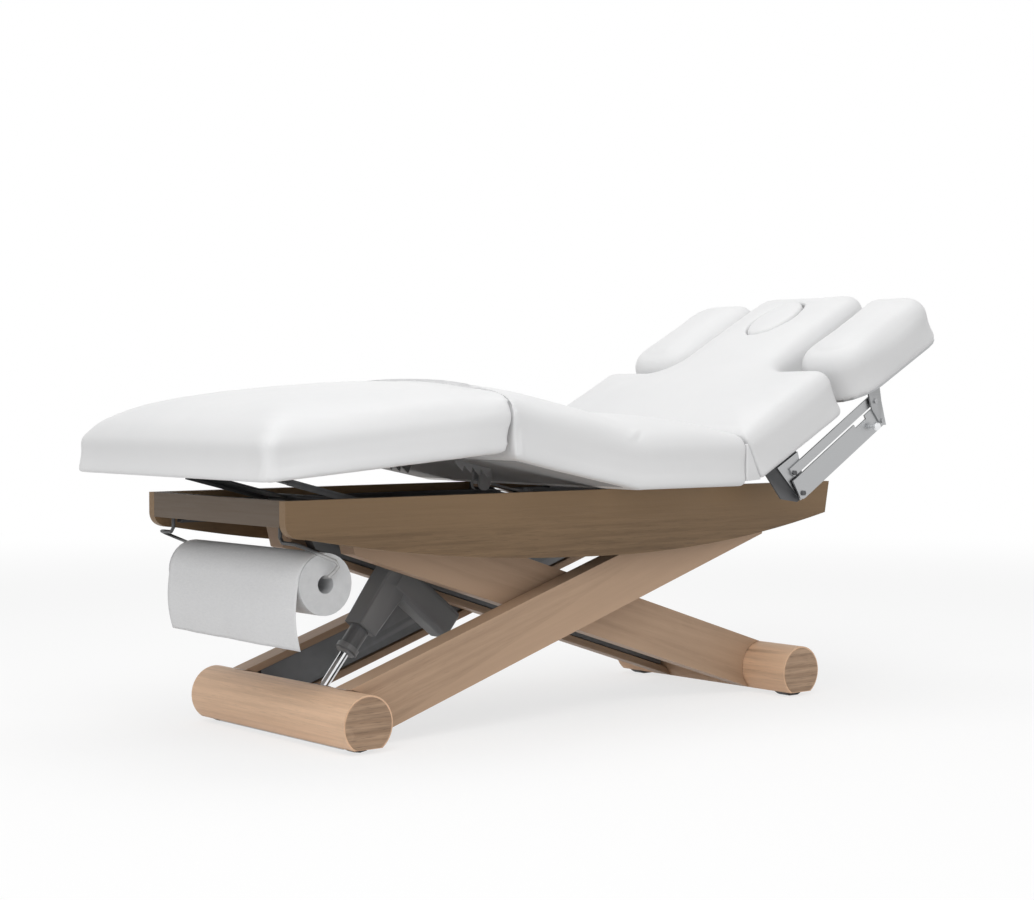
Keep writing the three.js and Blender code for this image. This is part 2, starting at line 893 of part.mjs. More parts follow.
function addLiftDrive() {
  const centreZ = (beamAxisHeight + upperPivotHeight) / 2;
  const cos = Math.cos(armAngle);
  const sin = Math.sin(armAngle);
  const anchor = [-liftDrive.anchor * cos, centreZ + liftDrive.anchor * sin];
  const footReach = armLength / 2 - liftFoot;
  const foot = [-footReach * cos, centreZ - footReach * sin];
  const reach = Math.hypot(foot[0] - anchor[0], foot[1] - anchor[1]);
  const axis = driveAxis(bed, 'lift_drive', ...anchor, ...foot);
  const housing = driveHousing(liftDrive);
  place(axis, 'lift_housing', shaped(housing.added, housing.removed), greyPlastic());
  place(axis, 'lift_rod', shaped(driveRod(liftDrive, reach), []), chrome());
}

// Upper frame
function railGeometry(sign) {
  const outer = sign * railOuter;
  const web = sign * (railOuter - rail.wall);
  const inner = sign * railInner;
  const clear = railHalf - rail.flange;
  const section = new THREE.Shape([
    [inner, -railHalf], [outer, -railHalf], [outer, railHalf], [inner, railHalf],
    [inner, clear], [web, clear], [web, -clear], [inner, -clear],
  ].map(([y, z]) => new THREE.Vector2(y, z)));
  const depth = rail.headEnd - rail.footEnd;
  const geometry = new THREE.ExtrudeGeometry(section, { depth, bevelEnabled: false });
  return geometry.rotateX(Math.PI / 2).rotateZ(Math.PI / 2).translate(rail.footEnd, 0, upperPivotHeight);
}

function addUpperSteel(group) {
  const webHalf = railOuter - rail.wall / 2;
  const tubeHalf = railInner + rail.weld;
  const legTubeX = legDrive.anchorX + driveStep;
  const backTubeX = backDrive.anchorX - driveStep;
  const legTubeZ = below(legDrive.anchorDrop) - legTubeDrop;
  const backTubeZ = below(backDrive.anchorDrop);
  const added = [
    pin(rail.tubeRadius, -webHalf, webHalf, rail.footEnd + rail.tubeInset, upperPivotHeight),
    pin(rail.tubeRadius, -webHalf, webHalf, rail.headEnd - rail.tubeInset, upperPivotHeight),
    pin(rail.tubeRadius, -tubeHalf, tubeHalf, legTubeX, legTubeZ),
    pin(rail.tubeRadius, -tubeHalf, tubeHalf, backTubeX, backTubeZ),
  ];
  for (const [drive, tubeX, tubeZ] of [[legDrive, legTubeX, legTubeZ], [backDrive, backTubeX, backTubeZ]]) {
    const anchorZ = below(drive.anchorDrop);
    const lugs = lugPair(drive.anchorX, anchorZ, tubeX, tubeZ, drive.eyeWidth, rail.tubeRadius);
    const pinHalf = drive.eyeWidth / 2 + lug.gap + lug.thickness;
    lugs.push(pin(drive.pin, -pinHalf, pinHalf, drive.anchorX, anchorZ));
    added.push(...lugs.map((geometry) => geometry.translate(0, drive.y, 0)));
  }
  const removed = [];
  const flangeTop = upperPivotHeight + railHalf;
  for (const { sign } of sides) {
    added.push(railGeometry(sign));
    added.push(bar(
      legTubeX - rail.tubeRadius, legTubeX + rail.tubeRadius, sign * railInner, sign * railOuter,
      legTubeZ, upperPivotHeight - railHalf + rail.flange / 2,
    ));
    const y0 = sign * (railInner - rail.bearingDepth);
    const y1 = sign * (railInner + rail.weld);
    const half = rail.bearingHalf;
    added.push(bar(
      footPivotX - half, footPivotX + half, y0, y1,
      upperPivotHeight - railHalf, upperPivotHeight + railHalf,
    ));
    removed.push(pin(arm.shaftRadius + runGap, y0 - sign * overrun, y1, footPivotX, upperPivotHeight));
    const leverZ = below(lever.hingeDrop);
    const leverEar = strap(lever.hingeX, leverZ, lever.hingeX, flangeTop - rail.flange, ear.radius);
    added.push(slab(leverEar, y0, y1));
    removed.push(pin(lever.pin + runGap, y0 - sign * overrun, y1 + sign * overrun, lever.hingeX, leverZ));
    for (const x of [seatStart + rail.seatPadInset, seatStart + seatLength - rail.seatPadInset]) {
      added.push(bar(
        x - rail.seatPad / 2, x + rail.seatPad / 2, y0, sign * railOuter,
        flangeTop - rail.flange / 2, undersideHeight - seatGap,
      ));
    }
  }
  place(group, 'upper_steel_frame', shaped(added, removed), darkSteel());
}

function addPanels(group) {
  const p = panel;
  const footZ = below(p.footDepth);
  const low = below(p.deepest);
  const shape = new THREE.Shape();
  shape.moveTo(p.footEnd, panelTopHeight);
  shape.lineTo(p.footEnd, footZ + p.endStep);
  shape.quadraticCurveTo(p.footEnd, footZ, p.footEnd + p.footCorner, footZ);
  shape.quadraticCurveTo((p.footEnd + p.deepestAt) / 2, low, p.deepestAt, low);
  shape.quadraticCurveTo((p.headEnd + p.deepestAt) / 2, low, p.headEnd - p.headCorner, below(p.headDepth));
  shape.lineTo(p.headEnd, panelTopHeight);
  shape.closePath();
  for (const { name, sign } of sides) {
    place(group, `side_panel_${name}`, slab(shape, sign * panelInner, sign * p.halfWidth, 12), wood());
  }
  const half = panelInner - seatGap;
  const end = bar(p.footEnd, p.footEnd + p.thickness, -half, half, below(p.footPanelDepth), panelTopHeight);
  place(group, 'foot_panel', end, wood());
}

function addControlBox(group) {
  const x1 = backDrive.anchorX - driveStep - rail.tubeRadius - seatGap;
  const x0 = x1 - box.length;
  const z = below(backDrive.anchorDrop) - rail.tubeRadius - box.height / 2;
  const half = box.width / 2;
  const body = bar(x0, x1, -half, half, z - box.height / 2, z + box.height / 2 + rail.tubeRadius);
  const inlet = bar(
    x0 + box.wall, x0 + box.wall + box.inletWidth, half - box.inletDepth, half + overrun,
    z - box.inletHeight / 2, z + box.inletHeight / 2,
  );
  place(group, 'control_box', shaped([body], [inlet]), blackPlastic());
}

function smoothPath(points, bend) {
  const path = new THREE.CurvePath();
  let from = points[0];
  for (let i = 1; i < points.length - 1; i += 1) {
    const into = points[i - 1].clone().sub(points[i]).setLength(bend).add(points[i]);
    const out = points[i + 1].clone().sub(points[i]).setLength(bend).add(points[i]);
    path.add(new THREE.LineCurve3(from, into));
    path.add(new THREE.QuadraticBezierCurve3(into, points[i], out));
    from = out;
  }
  path.add(new THREE.LineCurve3(from, points[points.length - 1]));
  return path;
}

function addRollHangers(group) {
  const x = panel.footEnd + panel.thickness + seatGap + roll.wireRadius;
  const outY = roll.length / 2 + roll.wireOut;
  const turnZ = below(roll.turnDrop);
  const coreZ = below(roll.drop) + roll.core - roll.wireRadius - 2 * seatGap;
  const section = new THREE.Shape();
  section.absarc(0, 0, roll.wireRadius, 0, 2 * Math.PI);
  for (const { name, sign } of sides) {
    const at = (px, py, pz) => new THREE.Vector3(px, sign * py, pz);
    const path = smoothPath([
      at(x, roll.mountY, below(roll.mountDrop)),
      at(x, roll.mountY, turnZ),
      at(x, outY, turnZ),
      at(roll.hookX, outY, below(roll.hookDrop)),
      at(roll.x, outY, coreZ),
      at(roll.x, roll.length / 2 - roll.wireIn, coreZ),
    ], roll.bend);
    const geometry = new THREE.ExtrudeGeometry(section, { steps: 20, curveSegments: 3, extrudePath: path });
    place(group, `roll_hanger_${name}`, geometry, darkSteel());
  }
}

// Paper that leaves the roll over its top and hangs on the foot side
function sheetGeometry() {
  const inner = roll.radius + 2 * seatGap;
  const wrap = 7;
  const fall = 3;
  const across = 8;
  const path = [];
  for (let i = 0; i <= wrap; i += 1) {
    const turn = Math.PI / 2 + (Math.PI / 2) * (i / wrap);
    path.push({ x: Math.cos(turn), z: Math.sin(turn), drop: 0 });
  }
  for (let i = 1; i <= fall; i += 1) path.push({ x: -1, z: 0, drop: i / fall });
  const half = roll.length / 2 - roll.sheetInset;
  const rollZ = below(roll.drop);
  const length = rollZ - below(roll.sheetDrop);
  const positions = [];
  for (const layer of [0, roll.sheetThickness]) {
    for (const { x, z, drop } of path) {
      for (let j = 0; j <= across; j += 1) {
        const share = j / across;
        const wave = roll.sheetWaves * (1 - Math.cos(3 * Math.PI * share)) + roll.sheetSwing * drop;
        const radius = inner + layer;
        positions.push(
          roll.x + x * radius - wave * drop,
          half * (2 * share - 1),
          rollZ + z * radius - length * drop,
        );
      }
    }
  }
  const rows = path.length;
  const row = across + 1;
  const index = [];
  const quad = (a, b, c, d) => index.push(a, b, c, a, c, d);
  const outer = rows * row;
  for (let i = 0; i < rows - 1; i += 1) {
    for (let j = 0; j < across; j += 1) {
      const a = i * row + j;
      quad(a, a + row, a + row + 1, a + 1);
      quad(outer + a, outer + a + 1, outer + a + row + 1, outer + a + row);
    }
    const left = i * row;
    const right = left + across;
    quad(left, outer + left, outer + left + row, left + row);
    quad(right, right + row, outer + right + row, outer + right);
  }
  const end = (rows - 1) * row;
  for (let j = 0; j < across; j += 1) {
    quad(j, j + 1, outer + j + 1, outer + j);
    quad(end + j, outer + end + j, outer + end + j + 1, end + j + 1);
  }
  const geometry = new THREE.BufferGeometry();
  geometry.setAttribute('position', new THREE.Float32BufferAttribute(positions, 3));
  geometry.setIndex(index);
  return geometry;
}

function addRoll(group) {
  const half = roll.length / 2;
  const profile = [
    [roll.core, -half], [roll.radius, -half], [roll.radius, half], [roll.core, half], [roll.core, -half],
  ].map(([r, h]) => new THREE.Vector2(r, h));
  const spin = frameAt(bed, 'paper_roll_spin', roll.x, below(roll.drop));
  place(spin, 'paper_roll', new THREE.LatheGeometry(profile, 32), paper());
  place(group, 'paper_sheet', sheetGeometry(), paper());
}

// Upholstered sections, each in a frame with its hinge line at the origin
const hingeTan = Math.tan(radians((thighAngle + calfAngle + legUp * kneeRatio) / 2));

function withEars(parts, ears, footX, depth, tabTo, kind) {
  for (const { sign } of ears) {
    const y0 = kind === 'fixed' ? ear.y : ear.y + ear.thickness + runGap;
    const y1 = y0 + ear.thickness;
    const low = depth - ear.radius;
    const shape = strap(0, 0, footX * low / depth, -low, ear.radius);
    parts.added.push(slab(shape, sign * y0, sign * y1).translate(parts.at, 0, 0));
    const tab = bar(
      Math.min(footX, tabTo), Math.max(footX, tabTo), sign * y0, sign * y1,
      -depth, boardThickness - depth,
    );
    parts.added.push(tab.translate(parts.at, 0, 0));
    const pinEnd = ear.y + 2 * ear.thickness + 2 * runGap;
    if (kind === 'fixed') parts.added.push(pin(ear.pin, sign * y0, sign * pinEnd, parts.at));
    else parts.removed.push(pin(ear.pin + runGap, sign * ear.y, sign * (pinEnd + overrun), parts.at));
  }
  return parts;
}

// Room in a cushion for the ears of one hinge and for their tabs
function earNotch(sign, at, footX, tabTo, depth) {
  const y0 = sign * (ear.y - swingGap);
  const y1 = sign * (ear.y + 2 * ear.thickness + 3 * runGap + swingGap);
  const low = depth + overrun;
  const half = ear.radius + swingGap;
  const corners = [[-half, half], [half, half], [footX + half, -low], [footX - half, -low]];
  const swing = slab(outline(corners), y0, y1);
  const tab = bar(Math.min(footX, tabTo), Math.max(footX, tabTo), y0, y1, -low, boardRoomTop - depth);
  return [swing, tab].map((geometry) => geometry.translate(at, 0, 0));
}

function notches(at, footX, tabTo, depth) {
  return sides.flatMap(({ sign }) => earNotch(sign, at, footX, tabTo, depth));
}

function plainCushion(x0, x1, size, tanStart, tanEnd) {
  const loop = (inset) => roundedLoop(block(x0, x1, halfBed), inset);
  const geometry = cushionGeometry(loop, size).translate(0, 0, cushionTop - size.thickness);
  return leanFaces(geometry, x0, x1, tanStart, tanEnd);
}

function plainBoard(x0, x1, depth) {
  return boardGeometry((inset) => roundedLoop(block(x0, x1, halfBed), inset), boardInset, -depth);
}

function plainRoom(x0, x1, depth) {
  return boardRoom((inset) => roundedLoop(block(x0, x1, halfBed), inset), boardInset, depth);
}

const cushionSize = { ...cushion, thickness: sectionThickness };
const tabReach = cushionGap + boardInset + overrun;

function addSeat(group) {
  const seat = frameAt(group, 'seat', seatStart, hingeHeight);
  const x0 = cushionGap;
  const x1 = seatLength - cushionGap;
  const parts = { at: 0, added: [plainBoard(x0, x1, sectionDepth)], removed: [] };
  withEars(parts, sides, 0, sectionDepth, tabReach, 'fixed');
  withEars({ ...parts, at: seatLength }, sides, 0, sectionDepth, -tabReach, 'fixed');
  place(seat, 'seat_board', shaped(parts.added, parts.removed), darkSteel());
  const solid = plainCushion(x0, x1, cushionSize, 0, 0);
  const cut = [
    plainRoom(x0, x1, sectionDepth),
    ...notches(0, 0, tabReach, sectionDepth),
    ...notches(seatLength, 0, -tabReach, sectionDepth),
  ];
  place(seat, 'seat_cushion', shaped([solid], cut), leatherette());
}

const kneeX = seatStart - thighLength * Math.cos(radians(thighAngle));
const kneeZ = hingeHeight + thighLength * Math.sin(radians(thighAngle));

function addThigh() {
  const thigh = frameAt(bed, 'thigh', seatStart, hingeHeight, -radians(thighAngle));
  const x0 = cushionGap - thighLength;
  const x1 = -cushionGap;
  const footX = hingeTan * sectionDepth;
  const parts = { at: 0, added: [plainBoard(x0 + footX, x1, sectionDepth)], removed: [] };
  withEars(parts, sides, 0, sectionDepth, -tabReach, 'moving');
  withEars({ ...parts, at: -thighLength }, sides, footX, sectionDepth, footX + tabReach, 'fixed');
  parts.added.push(...thighTeeth(), ...legLugs());
  place(thigh, 'thigh_board', shaped(parts.added, parts.removed), darkSteel());
  const solid = plainCushion(x0, x1, cushionSize, hingeTan, 0);
  const cut = [
    plainRoom(x0 + footX, x1, sectionDepth),
    ...notches(0, 0, -tabReach, sectionDepth),
    ...notches(-thighLength, footX, footX + tabReach, sectionDepth),
  ];
  place(thigh, 'thigh_cushion', shaped([solid], cut), leatherette());
}

function thighTeeth() {
  const points = [];
  const start = teeth.fromKnee - thighLength;
  const root = overrun - sectionDepth;
  for (let i = 0; i < teeth.count; i += 1) {
    const x = start + i * teeth.pitch;
    points.push([x, -sectionDepth - teeth.rise]);
    points.push([x + teeth.pitch, -sectionDepth - teeth.depth]);
  }
  const end = start + teeth.count * teeth.pitch;
  const shape = outline([[start, root], ...points, [end + teeth.rise, root]]);
  return sides.map(({ sign }) => {
    const y = sign * teeth.y;
    return slab(shape, y - teeth.thickness / 2, y + teeth.thickness / 2);
  });
}

// Lugs on the thigh that the leg drive pushes
function legLugs() {
  const dx = legDrive.targetX - seatStart;
  const dz = below(legDrive.targetDrop) - hingeHeight;
  const turn = radians(thighAngle);
  const x = dx * Math.cos(turn) - dz * Math.sin(turn);
  const z = dx * Math.sin(turn) + dz * Math.cos(turn);
  const root = boardThickness / 2 - sectionDepth - legDrive.tipRadius;
  const half = legDrive.tipWidth / 2 + lug.gap + lug.thickness;
  const parts = lugPair(x, z, x, root, legDrive.tipWidth, legDrive.tipRadius);
  parts.push(pin(legDrive.pin, -half, half, x, z));
  return parts.map((geometry) => geometry.translate(0, legDrive.y, 0));
}

function addCalf() {
  const calf = frameAt(bed, 'calf', kneeX, kneeZ, radians(calfAngle));
  const x0 = -calfLength;
  const x1 = -cushionGap;
  const footX = -hingeTan * calfDepth;
  const parts = { at: 0, added: [plainBoard(x0, x1 + footX, calfDepth)], removed: [] };
  withEars(parts, sides, footX, calfDepth, footX - tabReach, 'moving');
  place(calf, 'calf_board', shaped(parts.added, parts.removed), darkSteel());
  const size = { ...cushionSize, thickness: calfDepth + cushionTop };
  const solid = plainCushion(x0, x1, size, 0, hingeTan);
  const cut = [plainRoom(x0, x1 + footX, calfDepth), ...notches(0, footX, footX - tabReach, calfDepth)];
  place(calf, 'calf_cushion', shaped([solid], cut), leatherette());
}

function addLever() {
  const tipZ = leverTipHeight();
  const hingeZ = below(lever.hingeDrop);
  const group = driveAxis(bed, 'calf_lever_hinge', lever.hingeX, hingeZ, lever.tipX, tipZ);
  const length = Math.hypot(lever.tipX - lever.hingeX, tipZ - hingeZ);
  const ends = railInner - rail.bearingDepth - seatGap;
  const outerY = lever.innerY + lever.plateWidth;
  const added = [
    pin(lever.tubeRadius, -ends, ends),
    pin(lever.pin, -ends - rail.bearingDepth, ends + rail.bearingDepth),
    pin(lever.pin, -outerY, outerY, length),
  ];
  for (const { sign } of sides) {
    const y0 = sign * lever.innerY;
    const y1 = sign * outerY;
    const t = lever.plateThickness / 2;
    added.push(bar(0, length, y0, y1, -t, t));
    added.push(bar(0, length - lever.glideRadius - swingGap, y1 - sign * 2 * t, y1, -t, lever.flange - t));
  }
  place(group, 'calf_lever', shaped(added, []), darkSteel());
  for (const { name, sign } of sides) {
    const y0 = sign * (outerY + seatGap);
    const y1 = sign * (outerY + seatGap + lever.glideWidth);
    place(group, `calf_glide_${name}`, glide(length, y0, y1), blackPlastic());
  }
}

function glide(x, y0, y1) {
  return pin(lever.glideRadius, y0, y1, x);
}

// Height of the lever's tip: its glide rests just under the calf board
function leverTipHeight() {
  const turn = radians(calfAngle);
  const drop = calfDepth + lever.glideRadius + lever.gap;
  return kneeZ + (lever.tipX - kneeX) * Math.tan(turn) - drop / Math.cos(turn);
}

function addLegDrive() {
  const { anchorX, targetX } = legDrive;
  const anchorZ = below(legDrive.anchorDrop);
  const targetZ = below(legDrive.targetDrop);
  const axis = driveAxis(bed, 'leg_drive', anchorX, anchorZ, targetX, targetZ);
  const reach = Math.hypot(targetX - anchorX, targetZ - anchorZ);
  const housing = driveHousing(legDrive);
  const hole = pin(legDrive.tipHole, -legDrive.tipWidth, legDrive.tipWidth, reach);
  const rod = shaped(driveRod(legDrive, reach), [hole]);
  const body = shaped(housing.added, housing.removed);
  place(axis, 'leg_housing', body.translate(0, legDrive.y, 0), greyPlastic());
  place(axis, 'leg_rod', rod.translate(0, legDrive.y, 0), chrome());
}

function addBackDrive() {
  const { anchorX, targetX } = backDrive;
  const anchorZ = below(backDrive.anchorDrop);
  const targetZ = below(backDrive.targetDrop);
  const axis = frameAt(bed, 'back_drive', anchorX, anchorZ, radians(backDriveAim));
  const reach = Math.hypot(targetX - anchorX, targetZ - anchorZ);
  const housing = driveHousing(backDrive);
  const half = backDrive.tipWidth / 2;
  const crossEnd = half + crank.aside + crank.thickness + crank.aside;
  const rod = shaped([...driveRod(backDrive, reach), pin(backDrive.crossPin, 0, crossEnd, reach)], []);
  const body = shaped(housing.added, housing.removed).rotateX(Math.PI);
  place(axis, 'back_housing', body.translate(0, backDrive.y, 0), greyPlastic());
  place(axis, 'back_rod', rod.translate(0, backDrive.y, 0), chrome());
}

// Back section
const backHingeX = seatStart + seatLength;
const backTurn = radians(backAngle);

function backCorners() {
  const b = back;
  return [
    { x: cushionGap, y: -halfBed, r: cushion.corner },
    { x: b.shoulder, y: -halfBed, r: b.shoulderCorner },
    { x: b.shoulder, y: -b.neckHalf, r: b.notchRadius },
    { x: b.headEnd, y: -b.neckHalf, r: b.headCorner },
    { x: b.headEnd, y: b.neckHalf, r: b.headCorner },
    { x: b.shoulder, y: b.neckHalf, r: b.notchRadius },
    { x: b.shoulder, y: halfBed, r: b.shoulderCorner },
    { x: cushionGap, y: halfBed, r: cushion.corner },
  ];
}

function oval(halfLength, halfWidth, inset = 0) {
  const points = [];
  const count = 20;
  for (let i = 0; i < count; i += 1) {
    const turn = 2 * Math.PI * i / count;
    points.push(new THREE.Vector2(
      faceHole.at + (halfLength - inset) * Math.cos(turn),
      (halfWidth - inset) * Math.sin(turn),
    ));
  }
  return points;
}

function ovalHole(shrink, low, high) {
  const loop = oval(faceHole.halfLength, faceHole.halfWidth, shrink);
  const shape = new THREE.Shape(loop);
  const geometry = new THREE.ExtrudeGeometry(shape, { depth: high - low, bevelEnabled: false });
  return geometry.translate(0, 0, low);
}

function addBack() {
  const group = frameAt(bed, 'back', backHingeX, hingeHeight, backTurn);
  const loop = (inset) => roundedLoop(backCorners(), inset);
  const high = cushionTop + back.crown + overrun;
  const low = -sectionDepth - overrun;
  const parts = { at: 0, added: [boardGeometry(loop, boardInset, -sectionDepth)], removed: [] };
  withEars(parts, sides, 0, sectionDepth, tabReach, 'moving');
  parts.added.push(...crankParts());
  parts.removed.push(crankHole(), ovalHole(faceHole.ledge, low, boardRoomTop - sectionDepth));
  place(group, 'back_board', shaped(parts.added, parts.removed), darkSteel());
  const size = { ...cushionSize, crown: back.crown };
  const solid = cushionGeometry(loop, size).translate(0, 0, -sectionDepth);
  const cut = [
    boardRoom(loop, boardInset, sectionDepth),
    ...notches(0, 0, tabReach, sectionDepth),
    ovalHole(0, faceHole.seat, high),
    ovalHole(faceHole.ledge, low, high),
  ];
  place(group, 'back_cushion', shaped([solid], cut), leatherette());
  const plugLoop = (inset) => oval(faceHole.halfLength, faceHole.halfWidth, faceHole.fit + inset);
  const plugSize = {
    ...faceHole.plug,
    thickness: cushionTop + back.crown - faceHole.plug.crown - faceHole.seat - seatGap,
  };
  const plug = frameAt(group, 'face_plug_slide', faceHole.at, 0);
  const plugSolid = cushionGeometry(plugLoop, plugSize).translate(-faceHole.at, 0, faceHole.seat + seatGap);
  place(plug, 'face_plug', plugSolid, leatherette());
  addArmRests(group);
}

function crankPoint() {
  const dx = backDrive.targetX - backHingeX;
  const dz = below(backDrive.targetDrop) - hingeHeight;
  return [
    dx * Math.cos(backTurn) + dz * Math.sin(backTurn),
    dz * Math.cos(backTurn) - dx * Math.sin(backTurn),
  ];
}

function crankSides() {
  const y0 = backDrive.y + backDrive.tipWidth / 2 + crank.aside;
  return [y0, y0 + crank.thickness];
}

function crankParts() {
  const [x, z] = crankPoint();
  const root = crank.sink - sectionDepth - crank.strap;
  return [
    slab(strap(crank.rootX, root, x, z, crank.strap), ...crankSides()),
    pin(crank.holeRadius + crank.rim, ...crankSides(), x, z),
  ];
}

function crankHole() {
  const [x, z] = crankPoint();
  const [y0, y1] = crankSides();
  return pin(crank.holeRadius, y0 - overrun, y1 + overrun, x, z);
}

// Arm pads on their parallel links
const linkTurn = radians(link.angle);
const lowerPivot = [link.pivotAlong, -sectionDepth - link.lowerDrop];
const upperPivot = [link.pivotAlong, -sectionDepth - link.upperDrop];
const linkStep = [link.length * Math.cos(linkTurn), link.length * Math.sin(linkTurn)];
const padPivot = [lowerPivot[0] + linkStep[0], lowerPivot[1] + linkStep[1]];
const bracketY = pad.outer - bracket.padInset;
const plateY = bracketY + bracket.thickness + seatGap;
const upperLinkY = plateY + bracket.thickness + seatGap;
const lowerLinkY = upperLinkY + link.thickness + seatGap;
const padBracketY = lowerLinkY + link.thickness + seatGap;

function addArmRests(group) {
  for (const { name, sign } of sides) {
    addArmBracket(group, name, sign);
    addLinks(group, name, sign);
    addArmPad(group, name, sign);
  }
}

function addArmBracket(group, name, sign) {
  const top = -sectionDepth - seatGap;
  const heel = -sectionDepth - bracket.heelDrop;
  const [px, pz] = lowerPivot;
  const plate = outline([
    [bracket.topStart, top],
    [bracket.heelAlong, heel],
    [px - bracket.toe, pz - bracket.toe],
    [px + bracket.toe, pz - bracket.toe],
    [bracket.topEnd, top],
  ]);
  const y0 = sign * bracketY;
  const y1 = sign * (bracketY + bracket.thickness);
  const upperHead = sign * (upperLinkY + link.thickness + link.headHeight);
  const lowerHead = sign * (padBracketY + link.headHeight);
  const added = [
    slab(plate, y0, y1),
    bar(bracket.topStart, bracket.topEnd, sign * (halfBed - bracket.grip), y1, top - bracket.thickness, top),
    pin(link.pin, y0, upperHead, ...upperPivot),
    pin(link.pin, y0, lowerHead, ...lowerPivot),
    pin(link.headRadius, sign * lowerLinkY, upperHead, ...upperPivot, 6),
    pin(link.headRadius, sign * padBracketY, lowerHead, ...lowerPivot, 6),
  ];
  place(group, `arm_bracket_${name}`, shaped(added, []), darkSteel());
  const side = outline([
    [bracket.plateStart, top - bracket.plateTop],
    [px - bracket.toe / 2, pz - bracket.toe],
    [px + bracket.toe, pz - bracket.toe],
    [px + bracket.plateEnd, top - bracket.plateTop],
  ]);
  const holes = [upperPivot, lowerPivot].map(([x, z]) => (
    pin(link.pin + seatGap, sign * bracketY, sign * (plateY + 2 * bracket.thickness), x, z)
  ));
  const geometry = shaped([slab(side, sign * plateY, sign * (plateY + bracket.thickness))], holes);
  place(group, `arm_side_plate_${name}`, geometry, lightSteel());
}

function linkShape(below, above) {
  const shape = new THREE.Shape();
  shape.absarc(0, 0, below, Math.PI, 3 * Math.PI / 2);
  shape.absarc(link.length, 0, below, -Math.PI / 2, 0);
  shape.lineTo(link.length + below, above);
  shape.lineTo(-below, above);
  shape.closePath();
  return shape;
}

function linkHoles(y0, y1) {
  return [0, link.length].map((x) => pin(link.pin + runGap, y0, y1, x));
}

function addLinks(group, name, sign) {
  const lower = frameAt(group, `lower_link_${name}_hinge`, ...lowerPivot, linkTurn);
  const lowerY0 = sign * lowerLinkY;
  const lowerY1 = sign * (lowerLinkY + link.thickness);
  const low = sign * bracketY;
  const high = sign * (padBracketY + bracket.thickness);
  const scallop = bar(
    link.scallopStart, link.scallopEnd, low, high,
    link.lowerAbove - link.scallopDepth, link.lowerAbove + overrun,
  );
  const lowerSolid = shaped(
    [slab(linkShape(link.lowerBelow, link.lowerAbove), lowerY0, lowerY1)],
    [...linkHoles(low, high), scallop],
  );
  place(lower, `lower_link_${name}`, lowerSolid, lightSteel());
  place(lower, `arm_knob_${name}`, knobGeometry(sign), chrome());
  const upper = frameAt(group, `upper_link_${name}_hinge`, ...upperPivot, linkTurn);
  const upperY0 = sign * upperLinkY;
  const upperY1 = sign * (upperLinkY + link.thickness);
  const upperSolid = shaped(
    [slab(linkShape(link.upperBelow, link.upperAbove), upperY0, upperY1)],
    linkHoles(low, high),
  );
  place(upper, `upper_link_${name}`, upperSolid, lightSteel());
}

function knobGeometry(sign) {
  const x = link.length - link.knobInset;
  const y0 = lowerLinkY + link.thickness + seatGap;
  const stem = pin(link.knobStem, sign * y0, sign * (y0 + link.knobRadius), x, link.knobRise);
  const ball = new THREE.SphereGeometry(link.knobRadius, 12, 8);
  return shaped([stem, ball.translate(x, sign * (y0 + link.knobOut), link.knobRise)], []);
}

function padCorners(sign) {
  const low = back.shoulder + pad.lowerGap;
  const inner = back.neckHalf + pad.innerGap;
  const corners = [
    { x: low, y: inner, r: pad.lowerInnerCorner },
    { x: pad.headEnd, y: inner, r: pad.headInnerCorner },
    { x: pad.headEnd, y: pad.outer, r: pad.headOuterCorner },
    { x: low, y: pad.outer, r: pad.lowerOuterCorner },
  ];
  if (sign > 0) return corners;
  return corners.reverse().map(({ x, y, r }) => ({ x, y: -y, r }));
}

function addArmPad(group, name, sign) {
  const hinge = frameAt(group, `arm_pad_${name}_hinge`, ...padPivot);
  const loop = (inset) => roundedLoop(padCorners(sign), inset);
  const shift = (geometry) => geometry.translate(-padPivot[0], 0, -padPivot[1]);
  const board = boardGeometry(loop, pad.boardInset, -sectionDepth);
  const [x, z] = padPivot;
  const top = boardThickness / 2 - sectionDepth;
  const b = bracket;
  const plate = outline([
    [x - b.hangTop, top],
    [x - b.hangWaist, (top + z) / 2],
    [x - b.toe / 2, z - b.toe / 2],
    [x + b.toe / 2, z - b.toe],
    [x + b.hangWaist, (top + z) / 2],
    [x + b.hangEnd, top],
  ]);
  const y0 = sign * padBracketY;
  const y1 = sign * (padBracketY + b.thickness);
  const headEnd = sign * (padBracketY + b.thickness + link.headHeight);
  const rise = link.lowerDrop - link.upperDrop;
  const added = [
    board,
    slab(plate, y0, y1),
    pin(link.pin, sign * lowerLinkY, headEnd, x, z),
    pin(link.pin, sign * upperLinkY, headEnd, x, z + rise),
    pin(link.headRadius, y0, headEnd, x, z, 6),
    pin(link.headRadius, y0, headEnd, x, z + rise, 6),
  ];
  place(hinge, `arm_pad_frame_${name}`, shift(shaped(added, [])), lightSteel());
  const width = pad.outer - back.neckHalf - pad.innerGap;
  const size = { ...cushionSize, crown: pad.crown, crownReach: width * pad.crownShare, edge: pad.edge };
  const solid = cushionGeometry(loop, size).translate(0, 0, -sectionDepth);
  const room = boardRoom(loop, pad.boardInset, sectionDepth);
  place(hinge, `arm_pad_${name}`, shift(shaped([solid], [room])), leatherette());
}

addHeadBase();
addFootBase();
addInnerArms();
addOuterArms();
addLiftDrive();
const upperFrame = frameAt(bed, 'upper_frame', 0, 0);
addUpperSteel(upperFrame);
addPanels(upperFrame);
addControlBox(upperFrame);
addRollHangers(upperFrame);
addRoll(upperFrame);
addSeat(upperFrame);
addThigh();
addCalf();
addLever();
addLegDrive();
addBack();
addBackDrive();

